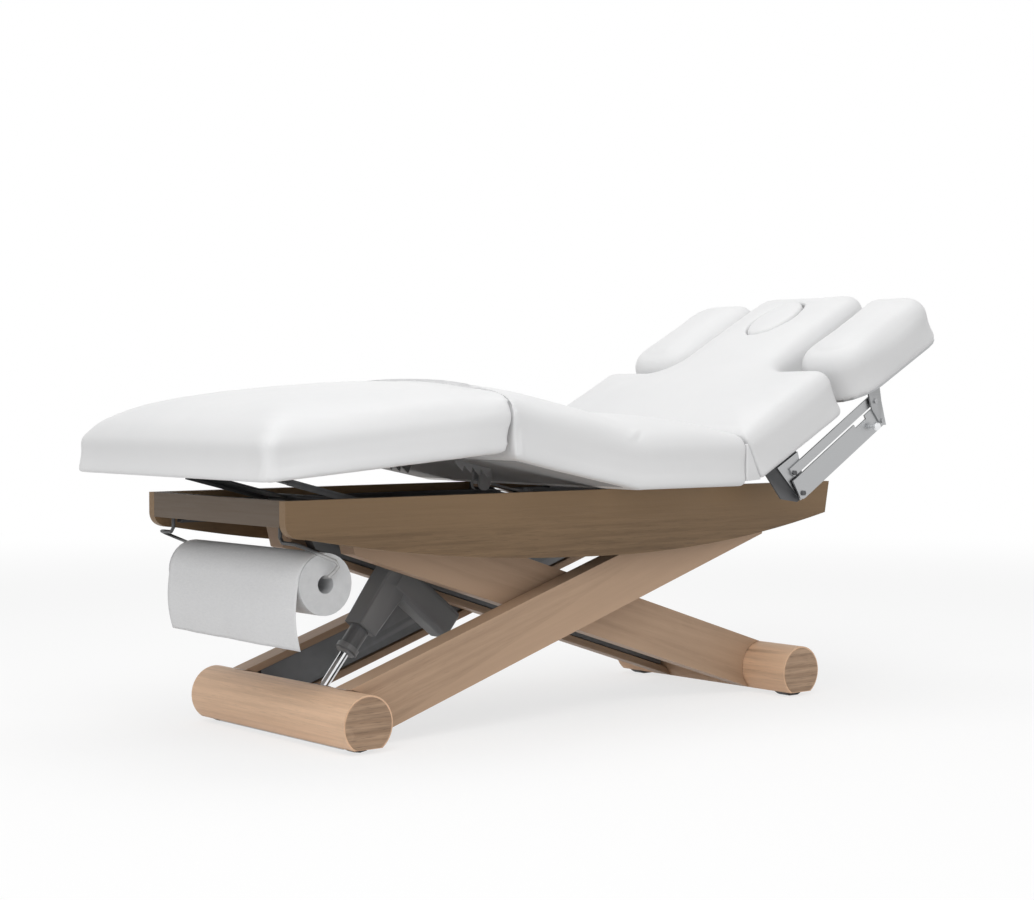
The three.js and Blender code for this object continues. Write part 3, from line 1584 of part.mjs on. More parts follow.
// The origin lies on the floor, under the middle of the bed's outline
const whole = new THREE.Group();
whole.add(bed);
whole.updateMatrixWorld(true);
const bounds = new THREE.Box3().setFromObject(whole, true);
bed.position.x = -(bounds.min.x + bounds.max.x) / 2;
whole.updateMatrixWorld(true);

export default whole;
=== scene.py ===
"""Looks of the treatment bed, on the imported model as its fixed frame."""
import json
import math
import bmesh
import bpy
import numpy as np
from mathutils import Matrix, Vector
from mathutils.kdtree import KDTree


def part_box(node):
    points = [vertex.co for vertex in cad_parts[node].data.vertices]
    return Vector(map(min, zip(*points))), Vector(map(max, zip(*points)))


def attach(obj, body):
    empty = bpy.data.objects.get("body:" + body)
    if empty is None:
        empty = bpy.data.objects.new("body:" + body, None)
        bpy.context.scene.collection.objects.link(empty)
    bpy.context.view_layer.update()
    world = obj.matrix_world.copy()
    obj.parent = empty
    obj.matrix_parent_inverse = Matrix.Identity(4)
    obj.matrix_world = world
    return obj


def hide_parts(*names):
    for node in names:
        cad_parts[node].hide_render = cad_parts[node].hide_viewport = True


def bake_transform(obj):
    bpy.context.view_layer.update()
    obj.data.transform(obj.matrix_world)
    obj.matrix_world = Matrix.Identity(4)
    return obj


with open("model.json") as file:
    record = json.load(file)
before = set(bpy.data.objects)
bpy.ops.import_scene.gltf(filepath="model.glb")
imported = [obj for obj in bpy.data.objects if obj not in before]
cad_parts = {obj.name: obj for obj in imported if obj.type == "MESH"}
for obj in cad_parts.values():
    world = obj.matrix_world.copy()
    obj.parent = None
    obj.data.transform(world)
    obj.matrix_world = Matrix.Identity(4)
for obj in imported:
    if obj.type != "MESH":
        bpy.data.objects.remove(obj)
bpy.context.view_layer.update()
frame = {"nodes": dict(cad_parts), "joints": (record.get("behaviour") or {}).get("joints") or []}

NODES = frame["nodes"]
JOINTS = {joint["name"]: joint for joint in frame["joints"]}
SIDES = (("near", -1), ("far", 1))
MM = 0.001


def place_of(joint):
    """A joint's place at rest, in metres."""
    return Vector(JOINTS[joint]["pos_m"])


# Camera, fitted to the photograph
PHOTO_WIDTH = 1034
FOCAL_PIXELS = 2025.41
SENSOR = 36.0
YAW = math.radians(50.71)
PITCH = math.radians(1.44)
CAMERA_AT = (place_of("leg").x - 0.035 - 3.02235, -3.68767, 0.7270)


def add_camera():
    """The camera that took the photograph."""
    data = bpy.data.cameras.new("camera")
    data.sensor_width = SENSOR
    data.sensor_fit = "HORIZONTAL"
    data.lens = SENSOR * FOCAL_PIXELS / PHOTO_WIDTH
    data.clip_end = 100
    camera = bpy.data.objects.new("camera", data)
    camera.location = CAMERA_AT
    camera.rotation_euler = (math.pi / 2 - PITCH, 0, YAW - math.pi / 2)
    bpy.context.collection.objects.link(camera)
    bpy.context.scene.camera = camera


add_camera()


# Light, world and floor
def add_area(name, location, target, size, watts):
    """A round area light that faces its target."""
    data = bpy.data.lights.new(name, "AREA")
    data.shape = "DISK"
    data.size = size
    data.energy = watts
    lamp = bpy.data.objects.new(name, data)
    lamp.location = location
    direction = Vector(target) - Vector(location)
    lamp.rotation_euler = direction.to_track_quat("-Z", "Y").to_euler()
    bpy.context.collection.objects.link(lamp)


def background_factor(nodes, links):
    """1 on rays that see the background directly, by gloss or through glass."""
    path = nodes.new("ShaderNodeLightPath")
    factor = path.outputs["Is Camera Ray"]
    for kind in ("Is Transmission Ray", "Is Glossy Ray"):
        either = nodes.new("ShaderNodeMath")
        either.operation = "MAXIMUM"
        links.new(factor, either.inputs[0])
        links.new(path.outputs[kind], either.inputs[1])
        factor = either.outputs[0]
    return factor


FILL = 0.55
FLOOR_COLOUR = (0.8, 0.8, 0.8, 1)
FLOOR_SEEN = (0.30, 0.30, 0.30, 1)
FLOOR_LIFT = 0.705
FLOOR_HALF = 30
FADE_FROM, FADE_TO = 2.6, 6.5


def set_world():
    """A grey fill on the object, and white where the background itself is seen."""
    world = bpy.data.worlds.new("studio")
    bpy.context.scene.world = world
    world.use_nodes = True
    nodes, links = world.node_tree.nodes, world.node_tree.links
    nodes.clear()
    out = nodes.new("ShaderNodeOutputWorld")
    fill, seen = nodes.new("ShaderNodeBackground"), nodes.new("ShaderNodeBackground")
    for node, strength in ((fill, FILL), (seen, 1.0)):
        node.inputs["Color"].default_value = (1, 1, 1, 1)
        node.inputs["Strength"].default_value = strength
    mix = nodes.new("ShaderNodeMixShader")
    links.new(background_factor(nodes, links), mix.inputs[0])
    links.new(fill.outputs[0], mix.inputs[1])
    links.new(seen.outputs[0], mix.inputs[2])
    links.new(mix.outputs[0], out.inputs[0])


def fade_factor(nodes, links):
    """0 near the object and 1 far out, by the distance on the floor."""
    place = nodes.new("ShaderNodeTexCoord")
    length = nodes.new("ShaderNodeVectorMath")
    length.operation = "LENGTH"
    links.new(place.outputs["Object"], length.inputs[0])
    fade = nodes.new("ShaderNodeMapRange")
    fade.interpolation_type = "SMOOTHSTEP"
    fade.inputs["From Min"].default_value = FADE_FROM
    fade.inputs["From Max"].default_value = FADE_TO
    links.new(length.outputs["Value"], fade.inputs["Value"])
    return fade.outputs["Result"]


def floor_material():
    """A matte floor; seen directly it is nearly white, with a soft shadow, and fades out."""
    material = bpy.data.materials.new("floor")
    material.use_nodes = True
    nodes, links = material.node_tree.nodes, material.node_tree.links
    nodes.clear()
    out = nodes.new("ShaderNodeOutputMaterial")
    matte = nodes.new("ShaderNodeBsdfDiffuse")
    matte.inputs["Color"].default_value = FLOOR_COLOUR
    shown = nodes.new("ShaderNodeBsdfDiffuse")
    shown.inputs["Color"].default_value = FLOOR_SEEN
    lift = nodes.new("ShaderNodeEmission")
    lift.inputs["Strength"].default_value = FLOOR_LIFT
    lifted = nodes.new("ShaderNodeAddShader")
    links.new(shown.outputs[0], lifted.inputs[0])
    links.new(lift.outputs[0], lifted.inputs[1])
    white = nodes.new("ShaderNodeEmission")
    faded = nodes.new("ShaderNodeMixShader")
    links.new(fade_factor(nodes, links), faded.inputs[0])
    links.new(lifted.outputs[0], faded.inputs[1])
    links.new(white.outputs[0], faded.inputs[2])
    pick = nodes.new("ShaderNodeMixShader")
    links.new(background_factor(nodes, links), pick.inputs[0])
    links.new(matte.outputs[0], pick.inputs[1])
    links.new(faded.outputs[0], pick.inputs[2])
    links.new(pick.outputs[0], out.inputs[0])
    return material


# Name, place, target, size in metres and watts of each light
LIGHTS = (
    ("key", (-2.2, -2.6, 4.4), (0, 0, 0.5), 3.0, 62),
    ("top", (0.5, 0.5, 4.8), (0, 0, 0.5), 3.6, 52),
    ("side", (-4.8, -2.7, 1.6), (0, 0, 0.4), 2.6, 27),
)


def add_floor():
    """A wide floor, which isn't part of the object."""
    mesh = bpy.data.meshes.new("floor")
    signs = ((-1, -1), (1, -1), (1, 1), (-1, 1))
    mesh.from_pydata([(FLOOR_HALF * x, FLOOR_HALF * y, 0) for x, y in signs], [], [(0, 1, 2, 3)])
    floor = bpy.data.objects.new("floor", mesh)
    bpy.context.collection.objects.link(floor)
    mesh.materials.append(floor_material())


set_world()
add_floor()
for light in LIGHTS:
    add_area(*light)
bpy.context.scene.view_settings.view_transform = "Standard"


# Material kit
class Nodes:
    """One material under way: its nodes are made and linked by short calls."""

    def __init__(self, name):
        self.material = bpy.data.materials.new(name)
        self.material.use_nodes = True
        tree = self.material.node_tree
        self.nodes, self.links = tree.nodes, tree.links
        self.shader = self.nodes["Principled BSDF"]
        self.coordinates = self.nodes.new("ShaderNodeTexCoord").outputs["Object"]

    def link(self, value, socket):
        """Links an output to the socket or gives it a value, a colour without its alpha."""
        if hasattr(value, "is_linked"):
            self.links.new(value, socket)
        else:
            socket.default_value = (*value, 1) if socket.type == "RGBA" else value

    def node(self, kind, **inputs):
        """A new node whose named inputs have a value or a link, with _ for a space in a name."""
        node = self.nodes.new(f"ShaderNode{kind}")
        for name, value in inputs.items():
            self.link(value, node.inputs[name.replace("_", " ")])
        return node

    def mapping(self, scale=(1, 1, 1), turn=(0, 0, 0), move=(0, 0, 0), source=None):
        vector = source or self.coordinates
        return self.node("Mapping", Vector=vector, Scale=scale, Rotation=turn, Location=move).outputs[0]

    def noise(self, scale, detail, rough=0.55, source=None, distortion=0.0):
        values = {"Scale": scale, "Detail": detail, "Roughness": rough, "Distortion": distortion}
        return self.node("TexNoise", Vector=source or self.coordinates, **values).outputs["Fac"]

    def cells(self, scale):
        return self.node("TexVoronoi", Vector=self.coordinates, Scale=scale).outputs["Distance"]

    def ramp(self, value, *stops):
        node = self.node("ValToRGB", Fac=value)
        elements = node.color_ramp.elements
        while len(elements) < len(stops):
            elements.new(0.5)
        for element, (place, colour) in zip(elements, stops):
            element.position = place
            grey = isinstance(colour, (int, float))
            element.color = (colour, colour, colour, 1) if grey else (*colour, 1)
        return node.outputs["Color"]

    def times(self, first, second):
        return self.mix(1.0, first, second, "MULTIPLY")

    def mix(self, factor, first, second, kind="MIX"):
        node = self.nodes.new("ShaderNodeMix")
        node.data_type = "RGBA"
        node.blend_type = kind
        self.link(factor, node.inputs[0])
        self.link(first, node.inputs[6])
        self.link(second, node.inputs[7])
        return node.outputs[2]

    def math(self, kind, first, second=0.0):
        node = self.nodes.new("ShaderNodeMath")
        node.operation = kind
        self.link(first, node.inputs[0])
        self.link(second, node.inputs[1])
        return node.outputs[0]

    def bump(self, height, distance, strength, under=None):
        node = self.node("Bump", Height=height, Distance=distance, Strength=strength)
        if under is not None:
            self.links.new(under, node.inputs["Normal"])
        return node.outputs[0]

    def pointiness(self, low=0.5, high=0.56):
        """1 on the edges that stand out."""
        node = self.node("NewGeometry")
        return self.ramp(node.outputs["Pointiness"], (low, 0.0), (high, 1.0))

    def done(self, colour, rough, normal, **extra):
        sockets = self.shader.inputs
        self.link(colour, sockets["Base Color"])
        self.link(rough, sockets["Roughness"])
        self.links.new(normal, sockets["Normal"])
        for name, value in extra.items():
            self.link(value, sockets[name.replace("_", " ")])
        return self.material


def leatherette():
    """White coated fabric: fine pressed grain over soft, wide unevenness."""
    kit = Nodes("leatherette")
    pores = kit.cells(620)
    hair = kit.noise(1500, 2)
    grain = kit.math("ADD", kit.math("MULTIPLY", pores, 0.8), kit.math("MULTIPLY", hair, 0.35))
    wide = kit.noise(5.5, 2.5, 0.45)
    soft = kit.bump(wide, 0.0022, 0.55)
    normal = kit.bump(grain, 0.00012, 0.35, soft)
    tone = kit.ramp(kit.noise(3.2, 3), (0.3, (0.800, 0.802, 0.806)), (0.7, (0.836, 0.836, 0.838)))
    # Painted shade: the tone is a little darker in the recessed pores of the grain
    pore_shade = kit.ramp(pores, (0.0, 0.955), (0.35, 1.0))
    rough = kit.ramp(kit.noise(40, 4), (0.3, 0.42), (0.75, 0.53))
    coat = {"Specular_IOR_Level": 0.42, "Coat_Weight": 0.06, "Coat_Roughness": 0.3}
    return kit.done(kit.times(tone, pore_shade), rough, normal, **coat)


WOOD_LIGHT = (0.490, 0.335, 0.225)
WOOD_MIDDLE = (0.385, 0.255, 0.166)
WOOD_DEEP = (0.245, 0.152, 0.094)


def toned(colour, factor, added=0):
    """The colour times a number, or times one number for each channel, and a little more."""
    factors = factor if isinstance(factor, tuple) else (factor,) * 3
    return tuple(min(c * f + added, 1) for c, f in zip(colour, factors))


def wood(name, tone_and_light, turn=(0, 0, 0), shift=0.0):
    """Oiled oak, its tones times tone_and_light: the piece's own tone, with painted light on the beams and
    painted shade on the panels; the grain follows the piece's length, the turn of its X.
    """
    kit = Nodes(name)
    along = kit.mapping(turn=turn, move=(shift, shift * 0.7, shift * 0.3))
    light, middle, deep = (toned(c, tone_and_light) for c in (WOOD_LIGHT, WOOD_MIDDLE, WOOD_DEEP))

    def grain(scale, detail, rough, distortion=0.0):
        return kit.noise(1.0, detail, rough, kit.mapping(scale, source=along), distortion)

    stretched = kit.mapping((0.5, 7, 12), source=along)
    bands = kit.node("TexWave", Vector=stretched, Scale=1.3, Distortion=7.0, Detail=4, Detail_Scale=1.1)
    bands.bands_direction = "Z"
    streak = grain((2.6, 44, 44), 5, 0.62, 0.5)
    fibre = grain((6, 170, 170), 6, 0.66)
    pores = grain((24, 620, 620), 2, 0.5)
    cloud = grain((5, 9, 9), 3, 0.5)
    fleck = grain((16, 60, 22), 3, 0.6, 1.2)
    base = kit.ramp(streak, (0.26, deep), (0.46, middle), (0.74, light))
    rings = kit.ramp(bands.outputs["Fac"], (0.0, toned(deep, 1.15)), (0.30, middle), (1.0, light))
    clouded = kit.times(kit.mix(0.45, base, rings), kit.ramp(cloud, (0.3, 0.86), (0.7, 1.10)))
    flecked = kit.mix(kit.ramp(fleck, (0.60, 0.0), (0.74, 0.30)), clouded, toned(light, 1.16))
    fine = kit.times(flecked, kit.ramp(fibre, (0.32, 0.64), (0.66, 1.14)))
    pored = kit.times(fine, kit.ramp(pores, (0.31, 0.55), (0.42, 1.0)))
    worn = kit.mix(kit.pointiness(0.52, 0.62), pored, toned(light, 1.25))
    rough = kit.ramp(fibre, (0.3, 0.60), (0.7, 0.42))
    normal = kit.bump(fibre, 0.0005, 0.30, kit.bump(pores, 0.0003, 0.4))
    return kit.done(worn, rough, normal, Specular_IOR_Level=0.4)


def painted_steel(name, colour, rough, metal=0.0):
    """Powder-coated steel, paler on its edges."""
    kit = Nodes(name)
    speck = kit.noise(900, 2)
    haze = kit.noise(9, 4)
    tone = kit.ramp(haze, (0.3, toned(colour, 0.86)), (0.7, toned(colour, 1.12)))
    edge = kit.mix(kit.pointiness(), tone, toned(colour, 1.6, 0.03))
    roughness = kit.ramp(kit.noise(60, 3), (0.3, rough - 0.07), (0.7, rough + 0.09))
    normal = kit.bump(speck, 0.00008, 0.6)
    return kit.done(edge, roughness, normal, Metallic=metal)


def brushed_steel(name, colour):
    """Bare steel with fine lines along X."""
    kit = Nodes(name)
    lines = kit.noise(1.0, 4, 0.7, kit.mapping((14, 900, 900)))
    tone = kit.ramp(lines, (0.3, toned(colour, 0.84)), (0.7, toned(colour, 1.08)))
    cloud = kit.ramp(kit.noise(14, 4), (0.35, 0.9), (0.7, 1.0))
    edge = kit.mix(kit.pointiness(), kit.times(tone, cloud), toned(colour, 1.25))
    roughness = kit.ramp(lines, (0.25, 0.25), (0.75, 0.44))
    return kit.done(edge, roughness, kit.bump(lines, 0.00012, 0.35), Metallic=1.0)


HANGER_WIRE = 0.42


def hanger():
    """Dark painted strap above, zinc-plated wire at its lower end."""
    kit = Nodes("roll_hanger")
    low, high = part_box("roll_hanger_near")
    height = kit.node("SeparateXYZ", Vector=kit.coordinates)
    turn = low[2] + HANGER_WIRE * (high[2] - low[2])
    strap = kit.ramp(kit.math("SUBTRACT", height.outputs["Z"], turn - 0.5), (0.495, 0.0), (0.505, 1.0))
    smear = kit.noise(60, 3)
    wire = kit.ramp(smear, (0.3, (0.40, 0.40, 0.40)), (0.7, (0.52, 0.52, 0.51)))
    paint = kit.ramp(smear, (0.3, (0.055, 0.056, 0.058)), (0.7, (0.085, 0.086, 0.088)))
    rough = kit.ramp(smear, (0.3, 0.34), (0.7, 0.46))
    tone = kit.mix(strap, wire, paint)
    return kit.done(tone, rough, kit.bump(kit.noise(700, 2), 0.0001, 0.4), Metallic=0.35)


def chrome():
    """Polished plating with faint smears."""
    kit = Nodes("chrome")
    smear = kit.noise(38, 4)
    tone = kit.ramp(smear, (0.3, (0.80, 0.81, 0.82)), (0.7, (0.90, 0.91, 0.92)))
    rough = kit.ramp(smear, (0.4, 0.05), (0.8, 0.14))
    return kit.done(tone, rough, kit.bump(smear, 0.0001, 0.1), Metallic=1.0)


def plastic(name, colour, rough):
    """Moulded plastic with a fine spark-eroded texture."""
    kit = Nodes(name)
    spark = kit.cells(1400)
    haze = kit.noise(7, 4)
    tone = kit.ramp(haze, (0.3, toned(colour, 0.88)), (0.7, toned(colour, 1.1)))
    edge = kit.mix(kit.pointiness(0.51, 0.58), tone, toned(colour, 1.5, 0.02))
    roughness = kit.ramp(kit.noise(30, 3), (0.3, rough - 0.06), (0.7, rough + 0.08))
    return kit.done(edge, roughness, kit.bump(spark, 0.0001, 0.5))


def rubber():
    """Black tyre rubber, dusty and scuffed on its edges."""
    kit = Nodes("rubber")
    dust = kit.noise(22, 5, 0.6)
    tone = kit.ramp(dust, (0.4, (0.012, 0.012, 0.012)), (0.8, (0.035, 0.034, 0.033)))
    scuff = kit.mix(kit.pointiness(), tone, (0.07, 0.068, 0.066))
    rough = kit.ramp(dust, (0.3, 0.55), (0.8, 0.85))
    return kit.done(scuff, rough, kit.bump(kit.noise(500, 3), 0.0002, 0.4))


def paper():
    """White couch paper, finely creped."""
    kit = Nodes("paper")
    fibre = kit.noise(260, 5, 0.7, kit.mapping((1, 0.35, 1)))
    crepe = kit.noise(1.0, 3, 0.5, kit.mapping((120, 900, 260)))
    tone = kit.ramp(fibre, (0.3, (0.82, 0.822, 0.828)), (0.7, (0.885, 0.886, 0.89)))
    normal = kit.bump(crepe, 0.0002, 0.4, kit.bump(kit.noise(7, 2), 0.002, 0.25))
    return kit.done(tone, kit.ramp(fibre, (0.3, 0.82), (0.7, 0.93)), normal, Specular_IOR_Level=0.25)


PAPER_LAYERS = 5200.0


def paper_edge():
    """The end of the roll, with its layers as fine rings."""
    kit = Nodes("paper_edge")
    centre = place_of("paper_roll_spin")
    shifted = kit.mapping((1, 0, 1), move=(-centre.x, 0, -centre.z))
    rings = kit.node("VectorMath", Vector=shifted)
    rings.operation = "LENGTH"
    lines = kit.math("SINE", kit.math("MULTIPLY", rings.outputs["Value"], PAPER_LAYERS))
    wander = kit.noise(50, 3)
    both = kit.math("ADD", kit.math("MULTIPLY", lines, 0.5), wander)
    tone = kit.ramp(both, (0.2, (0.62, 0.625, 0.632)), (0.95, (0.80, 0.803, 0.806)))
    return kit.done(tone, 0.9, kit.bump(both, 0.0003, 0.5), Specular_IOR_Level=0.2)


def board_cover():
    """Grey dust cover under the padded sections, a felted cloth."""
    kit = Nodes("board_cover")
    felt = kit.noise(700, 6, 0.75)
    dots = kit.cells(420)
    tone = kit.ramp(felt, (0.3, (0.34, 0.341, 0.345)), (0.7, (0.44, 0.441, 0.445)))
    return kit.done(tone, 0.86, kit.bump(kit.math("ADD", felt, dots), 0.0004, 0.5), Specular_IOR_Level=0.3)


ARM_TURN = math.atan2(419.5, 1290)
LEATHER = leatherette()
# Side panels: darker wood, and painted shade from the cushions that overhang them
WOOD_PANEL_DARK_AND_SHADED = wood("wood_panel_dark_and_shaded", (0.47, 0.435, 0.335))
# Foot panel: darker wood, and painted shade from the cushion above it
WOOD_FRONT_DARK_AND_SHADED = wood("wood_front_dark_and_shaded", (0.22, 0.232, 0.235), turn=(0, 0, math.pi / 2), shift=3.1)
WOOD_OUTER = wood("wood_outer_arm", 0.95, turn=(0, ARM_TURN, 0), shift=1.7)
WOOD_INNER = wood("wood_inner_arm", 0.92, turn=(0, -ARM_TURN, 0), shift=5.3)
# Beams: painted light, their wood made much paler for the top light and sheen on them
WOOD_BEAM_PAINTED_LIGHT = wood("wood_beam_painted_light", 1.62, turn=(0, 0, math.pi / 2), shift=7.9)
WOOD_DISC = wood("wood_disc", 1.12, shift=11.3)
DARK_STEEL = painted_steel("dark_steel", (0.045, 0.046, 0.049), 0.4)
FRAME_STEEL = painted_steel("frame_steel", (0.17, 0.175, 0.182), 0.38, 0.25)
STRIP_STEEL = painted_steel("strip_steel", (0.42, 0.43, 0.44), 0.4, 0.3)
LIGHT_STEEL = brushed_steel("light_steel", (0.37, 0.375, 0.38))
CHROME = chrome()
GREY_PLASTIC = plastic("grey_plastic", (0.185, 0.188, 0.194), 0.46)
BLACK_PLASTIC = plastic("black_plastic", (0.014, 0.014, 0.015), 0.5)
RUBBER = rubber()
PAPER = paper()
PAPER_EDGE = paper_edge()
BOARD = board_cover()
HANGER = hanger()


# CAD nodes that stay
EDGE_STEPS, EDGE_ANGLE = 2, 32


def smooth_faces(obj):
    """Shades all faces of the object smooth."""
    for polygon in obj.data.polygons:
        polygon.use_smooth = True


def dress(node, material, bevel, smooth_angle=35):
    """Gives a CAD node softened edges (bevel in millimetres), smooth curves and a material."""
    obj = NODES[node]
    obj.data.materials.clear()
    obj.data.materials.append(material)
    smooth_faces(obj)
    obj.data.set_sharp_from_angle(angle=math.radians(smooth_angle))
    if bevel:
        soften = obj.modifiers.new("soften", "BEVEL")
        soften.width = bevel * MM
        soften.segments = EDGE_STEPS
        soften.limit_method = "ANGLE"
        soften.angle_limit = math.radians(EDGE_ANGLE)
        soften.harden_normals = True
        soften.use_clamp_overlap = True


SIDE_NODES = (
    ("side_panel", WOOD_PANEL_DARK_AND_SHADED, 1.6), ("outer_arm_cover", WOOD_OUTER, 1.6),
    ("inner_arm_cover", WOOD_INNER, 1.6), ("head_foot", RUBBER, 1.0), ("wheel_axle", STRIP_STEEL, 0.5),
    ("track_roller", BLACK_PLASTIC, 1.0), ("calf_glide", BLACK_PLASTIC, 1.0),
    ("arm_bracket", DARK_STEEL, 0.5), ("arm_side_plate", LIGHT_STEEL, 0.6),
    ("upper_link", LIGHT_STEEL, 0.6), ("lower_link", LIGHT_STEEL, 0.6),
    ("arm_pad_frame", LIGHT_STEEL, 0.6), ("arm_knob", CHROME, 0),
)
MIDDLE_NODES = (
    ("head_beam", WOOD_BEAM_PAINTED_LIGHT, 1.4), ("foot_beam", WOOD_BEAM_PAINTED_LIGHT, 1.4), ("foot_panel", WOOD_FRONT_DARK_AND_SHADED, 1.6),
    ("foot_plate", STRIP_STEEL, 0.6), ("inner_arm_frame", FRAME_STEEL, 1.0),
    ("outer_arm_frame", FRAME_STEEL, 1.0), ("upper_steel_frame", DARK_STEEL, 0.8),
    ("calf_lever", DARK_STEEL, 0.6), ("control_box", BLACK_PLASTIC, 1.5),
)
for side, _ in SIDES:
    for node, material, bevel in SIDE_NODES:
        dress(f"{node}_{side}", material, bevel)
    dress(f"roll_hanger_{side}", HANGER, 0, smooth_angle=80)
for node, material, bevel in MIDDLE_NODES:
    dress(node, material, bevel)
for drive in ("lift", "leg", "back"):
    dress(f"{drive}_housing", GREY_PLASTIC, 1.2)
    dress(f"{drive}_rod", CHROME, 0.4)
for part in ("seat", "thigh", "calf", "back"):
    dress(f"{part}_board", BOARD, 0.8)


# Upholstery: steps of the forms, voxel size and smoothing of the meshes, cloth of the covers
CORNER_STEPS, UNDER_STEPS, ROUND_STEPS, CROWN_STEPS = 9, 3, 6, 6
MESHES = {"section": (0.0072, 6), "back": (0.0062, 4), "arm_pad": (0.006, 6), "plug": (0.004, 4)}
SIM_FRAMES = 20
SIM_QUALITY, SIM_MASS, SIM_PRESSURE = 4, 0.25, 4.0
SIM_EVENING = 45
COVER_STIFFNESS = {"tension": 12, "compression": 12, "shear": 6, "bending": 0.6}
SIM_CAP = {"section": 0.016, "back": 0.014, "arm_pad": 0.011, "plug": 0.003}
PIN_REACH = 0.006
FACE_KEPT, FACE_FADE = 8, 70
ROUNDING, ROUNDING_FADE, ROUNDING_BAND, PROFILE_BAND = 14.0, 32.0, 34.0, 9

# Sizes of the padded sections in their own frames, in millimetres and degrees
HALF_BED = 400
SEAT_LENGTH, THIGH_LENGTH, CALF_LENGTH, BACK_LENGTH = 325, 382.8, 618, 765
BACK_START, SHOULDER, HALF_NECK = -20, 345, 185
LOW, CALF_LOW = -109.7, -96.7
SIDE_LOW = -60
CROWN_TOP, BACK_TOP, CALF_TOP = 54, 38, 74
THIGH_TURN, CALF_TURN, BACK_TURN = -11.6, 4.7, 28.4
LEG_RISE, KNEE_RATIO = 8, 1.405
KNEE_LEAN = math.tan(math.radians((-THIGH_TURN + CALF_TURN + LEG_RISE * KNEE_RATIO) / 2))
SEAT_LEAN = math.tan(math.radians(-THIGH_TURN / 2))
RUN_ON = 460
CUT_PLAY, HINGE_LAP, SEAT_PAST = 1.0, 8, 14
SETTLE_LOW, SETTLE_HIGH, SEAT_SETTLES, CALF_SETTLES = -30, 10, 14, 60
CREASE_LOW, CREASE_FADE = -85, 70
SWELL, PAD_SWELL = 9, 6
BOARD_INSET, BOARD_DEPTH, BOARD_LAP = 21.4, 6, 25
FULL = {"under": 10, "edge": 40, "draw": 3, "crown": 26, "reach": 290, "thick": 121}
CALF = dict(FULL, thick=116, edge=46, crown=44, reach=380)
CALF_SIDE_TOP, CALF_GROWS, CALF_FLATTENS, CALF_DOME = 24, 10, 20, 2.5
BACK = dict(FULL, crown=12, reach=165, edge=36)
ARM_PAD = dict(FULL, crown=9, reach=95, edge=42)


def frame_matrix(joint, degrees):
    """Place of a padded section: its hinge line, turned so that +X rises."""
    return Matrix.Translation(place_of(joint)) @ Matrix.Rotation(-math.radians(degrees), 4, "Y")


def rounded_loop(corners, inset):
    """Corners (x, y, radius) of a loop, drawn inwards by inset, in millimetres."""
    points = []
    count = len(corners)
    for i in range(count):
        here = Vector(corners[i][:2])
        before = Vector(corners[i - 1][:2])
        after = Vector(corners[(i + 1) % count][:2])
        into = (here - before).normalized()
        out = (after - here).normalized()
        turn = math.atan2(into.x * out.y - into.y * out.x, into.dot(out))
        bisector = Vector((-into.y - out.y, into.x + out.x)).normalized()
        sign = 1 if turn > 0 else -1
        corner = here + bisector * inset / math.cos(turn / 2)
        radius = max(corners[i][2] - sign * inset, 2)
        centre = corner + bisector * sign * radius / math.cos(turn / 2)
        start = corner - into * radius * math.tan(abs(turn) / 2) - centre
        for step in range(CORNER_STEPS + 1):
            spin = Matrix.Rotation(turn * step / CORNER_STEPS, 2)
            points.append(spin @ start + centre)
    return points


def loft(loops):
    """A closed mesh through loops of points, with its two ends filled."""
    around = len(loops[0])
    vertices = [point for loop in loops for point in loop]
    faces = []
    for level in range(len(loops) - 1):
        for i in range(around):
            a = level * around + i
            b = level * around + (i + 1) % around
            faces.append((a, b, b + around, a + around))
    faces.append(tuple(reversed(range(around))))
    last = (len(loops) - 1) * around
    faces.append(tuple(range(last, last + around)))
    return vertices, faces


def mesh_object(name, vertices, faces):
    """A new object in the scene, its vertices in metres."""
    mesh = bpy.data.meshes.new(name)
    mesh.from_pydata([tuple(v) for v in vertices], [], faces)
    obj = bpy.data.objects.new(name, mesh)
    bpy.context.collection.objects.link(obj)
    return obj


def face_outwards(obj):
    """Turns the faces of a closed mesh outwards."""
    bm = bmesh.new()
    bm.from_mesh(obj.data)
    bmesh.ops.recalc_face_normals(bm, faces=bm.faces[:])
    bm.to_mesh(obj.data)
    bm.free()


def pad_rings(size):
    """(inset, height) of a pad's rings, from its underside to its crown."""
    rings = []
    under, edge, thick = size["under"], size["edge"], size["thick"]
    for step in range(UNDER_STEPS + 1):
        turn = step / UNDER_STEPS * math.pi / 2
        rings.append((under * (1 - math.sin(turn)), under * (1 - math.cos(turn))))
    side = thick - edge - under
    for share in (0.33, 0.67):
        rings.append((size["draw"] * math.sin(math.pi * share), under + side * share))
    for step in range(ROUND_STEPS + 1):
        turn = step / ROUND_STEPS * math.pi / 2
        rings.append((edge * (1 - math.cos(turn)), thick - edge * (1 - math.sin(turn))))
    reach = size["reach"]
    for step in range(1, CROWN_STEPS + 1):
        share = step / CROWN_STEPS
        rise = size["crown"] * (1 - (1 - share) ** 2)
        rings.append((edge + (reach - edge) * share, thick + rise))
    return rings


def pad_object(name, corners, size, low, matrix, swell):
    """Base form of a pad in its section's frame, smaller all round by what it swells."""
    loops = []
    for inset, height in pad_rings(size):
        loop = rounded_loop(corners, inset + swell)
        loops.append([matrix @ (Vector((p.x, p.y, low + height)) * MM) for p in loop])
    return mesh_object(name, *loft(loops))


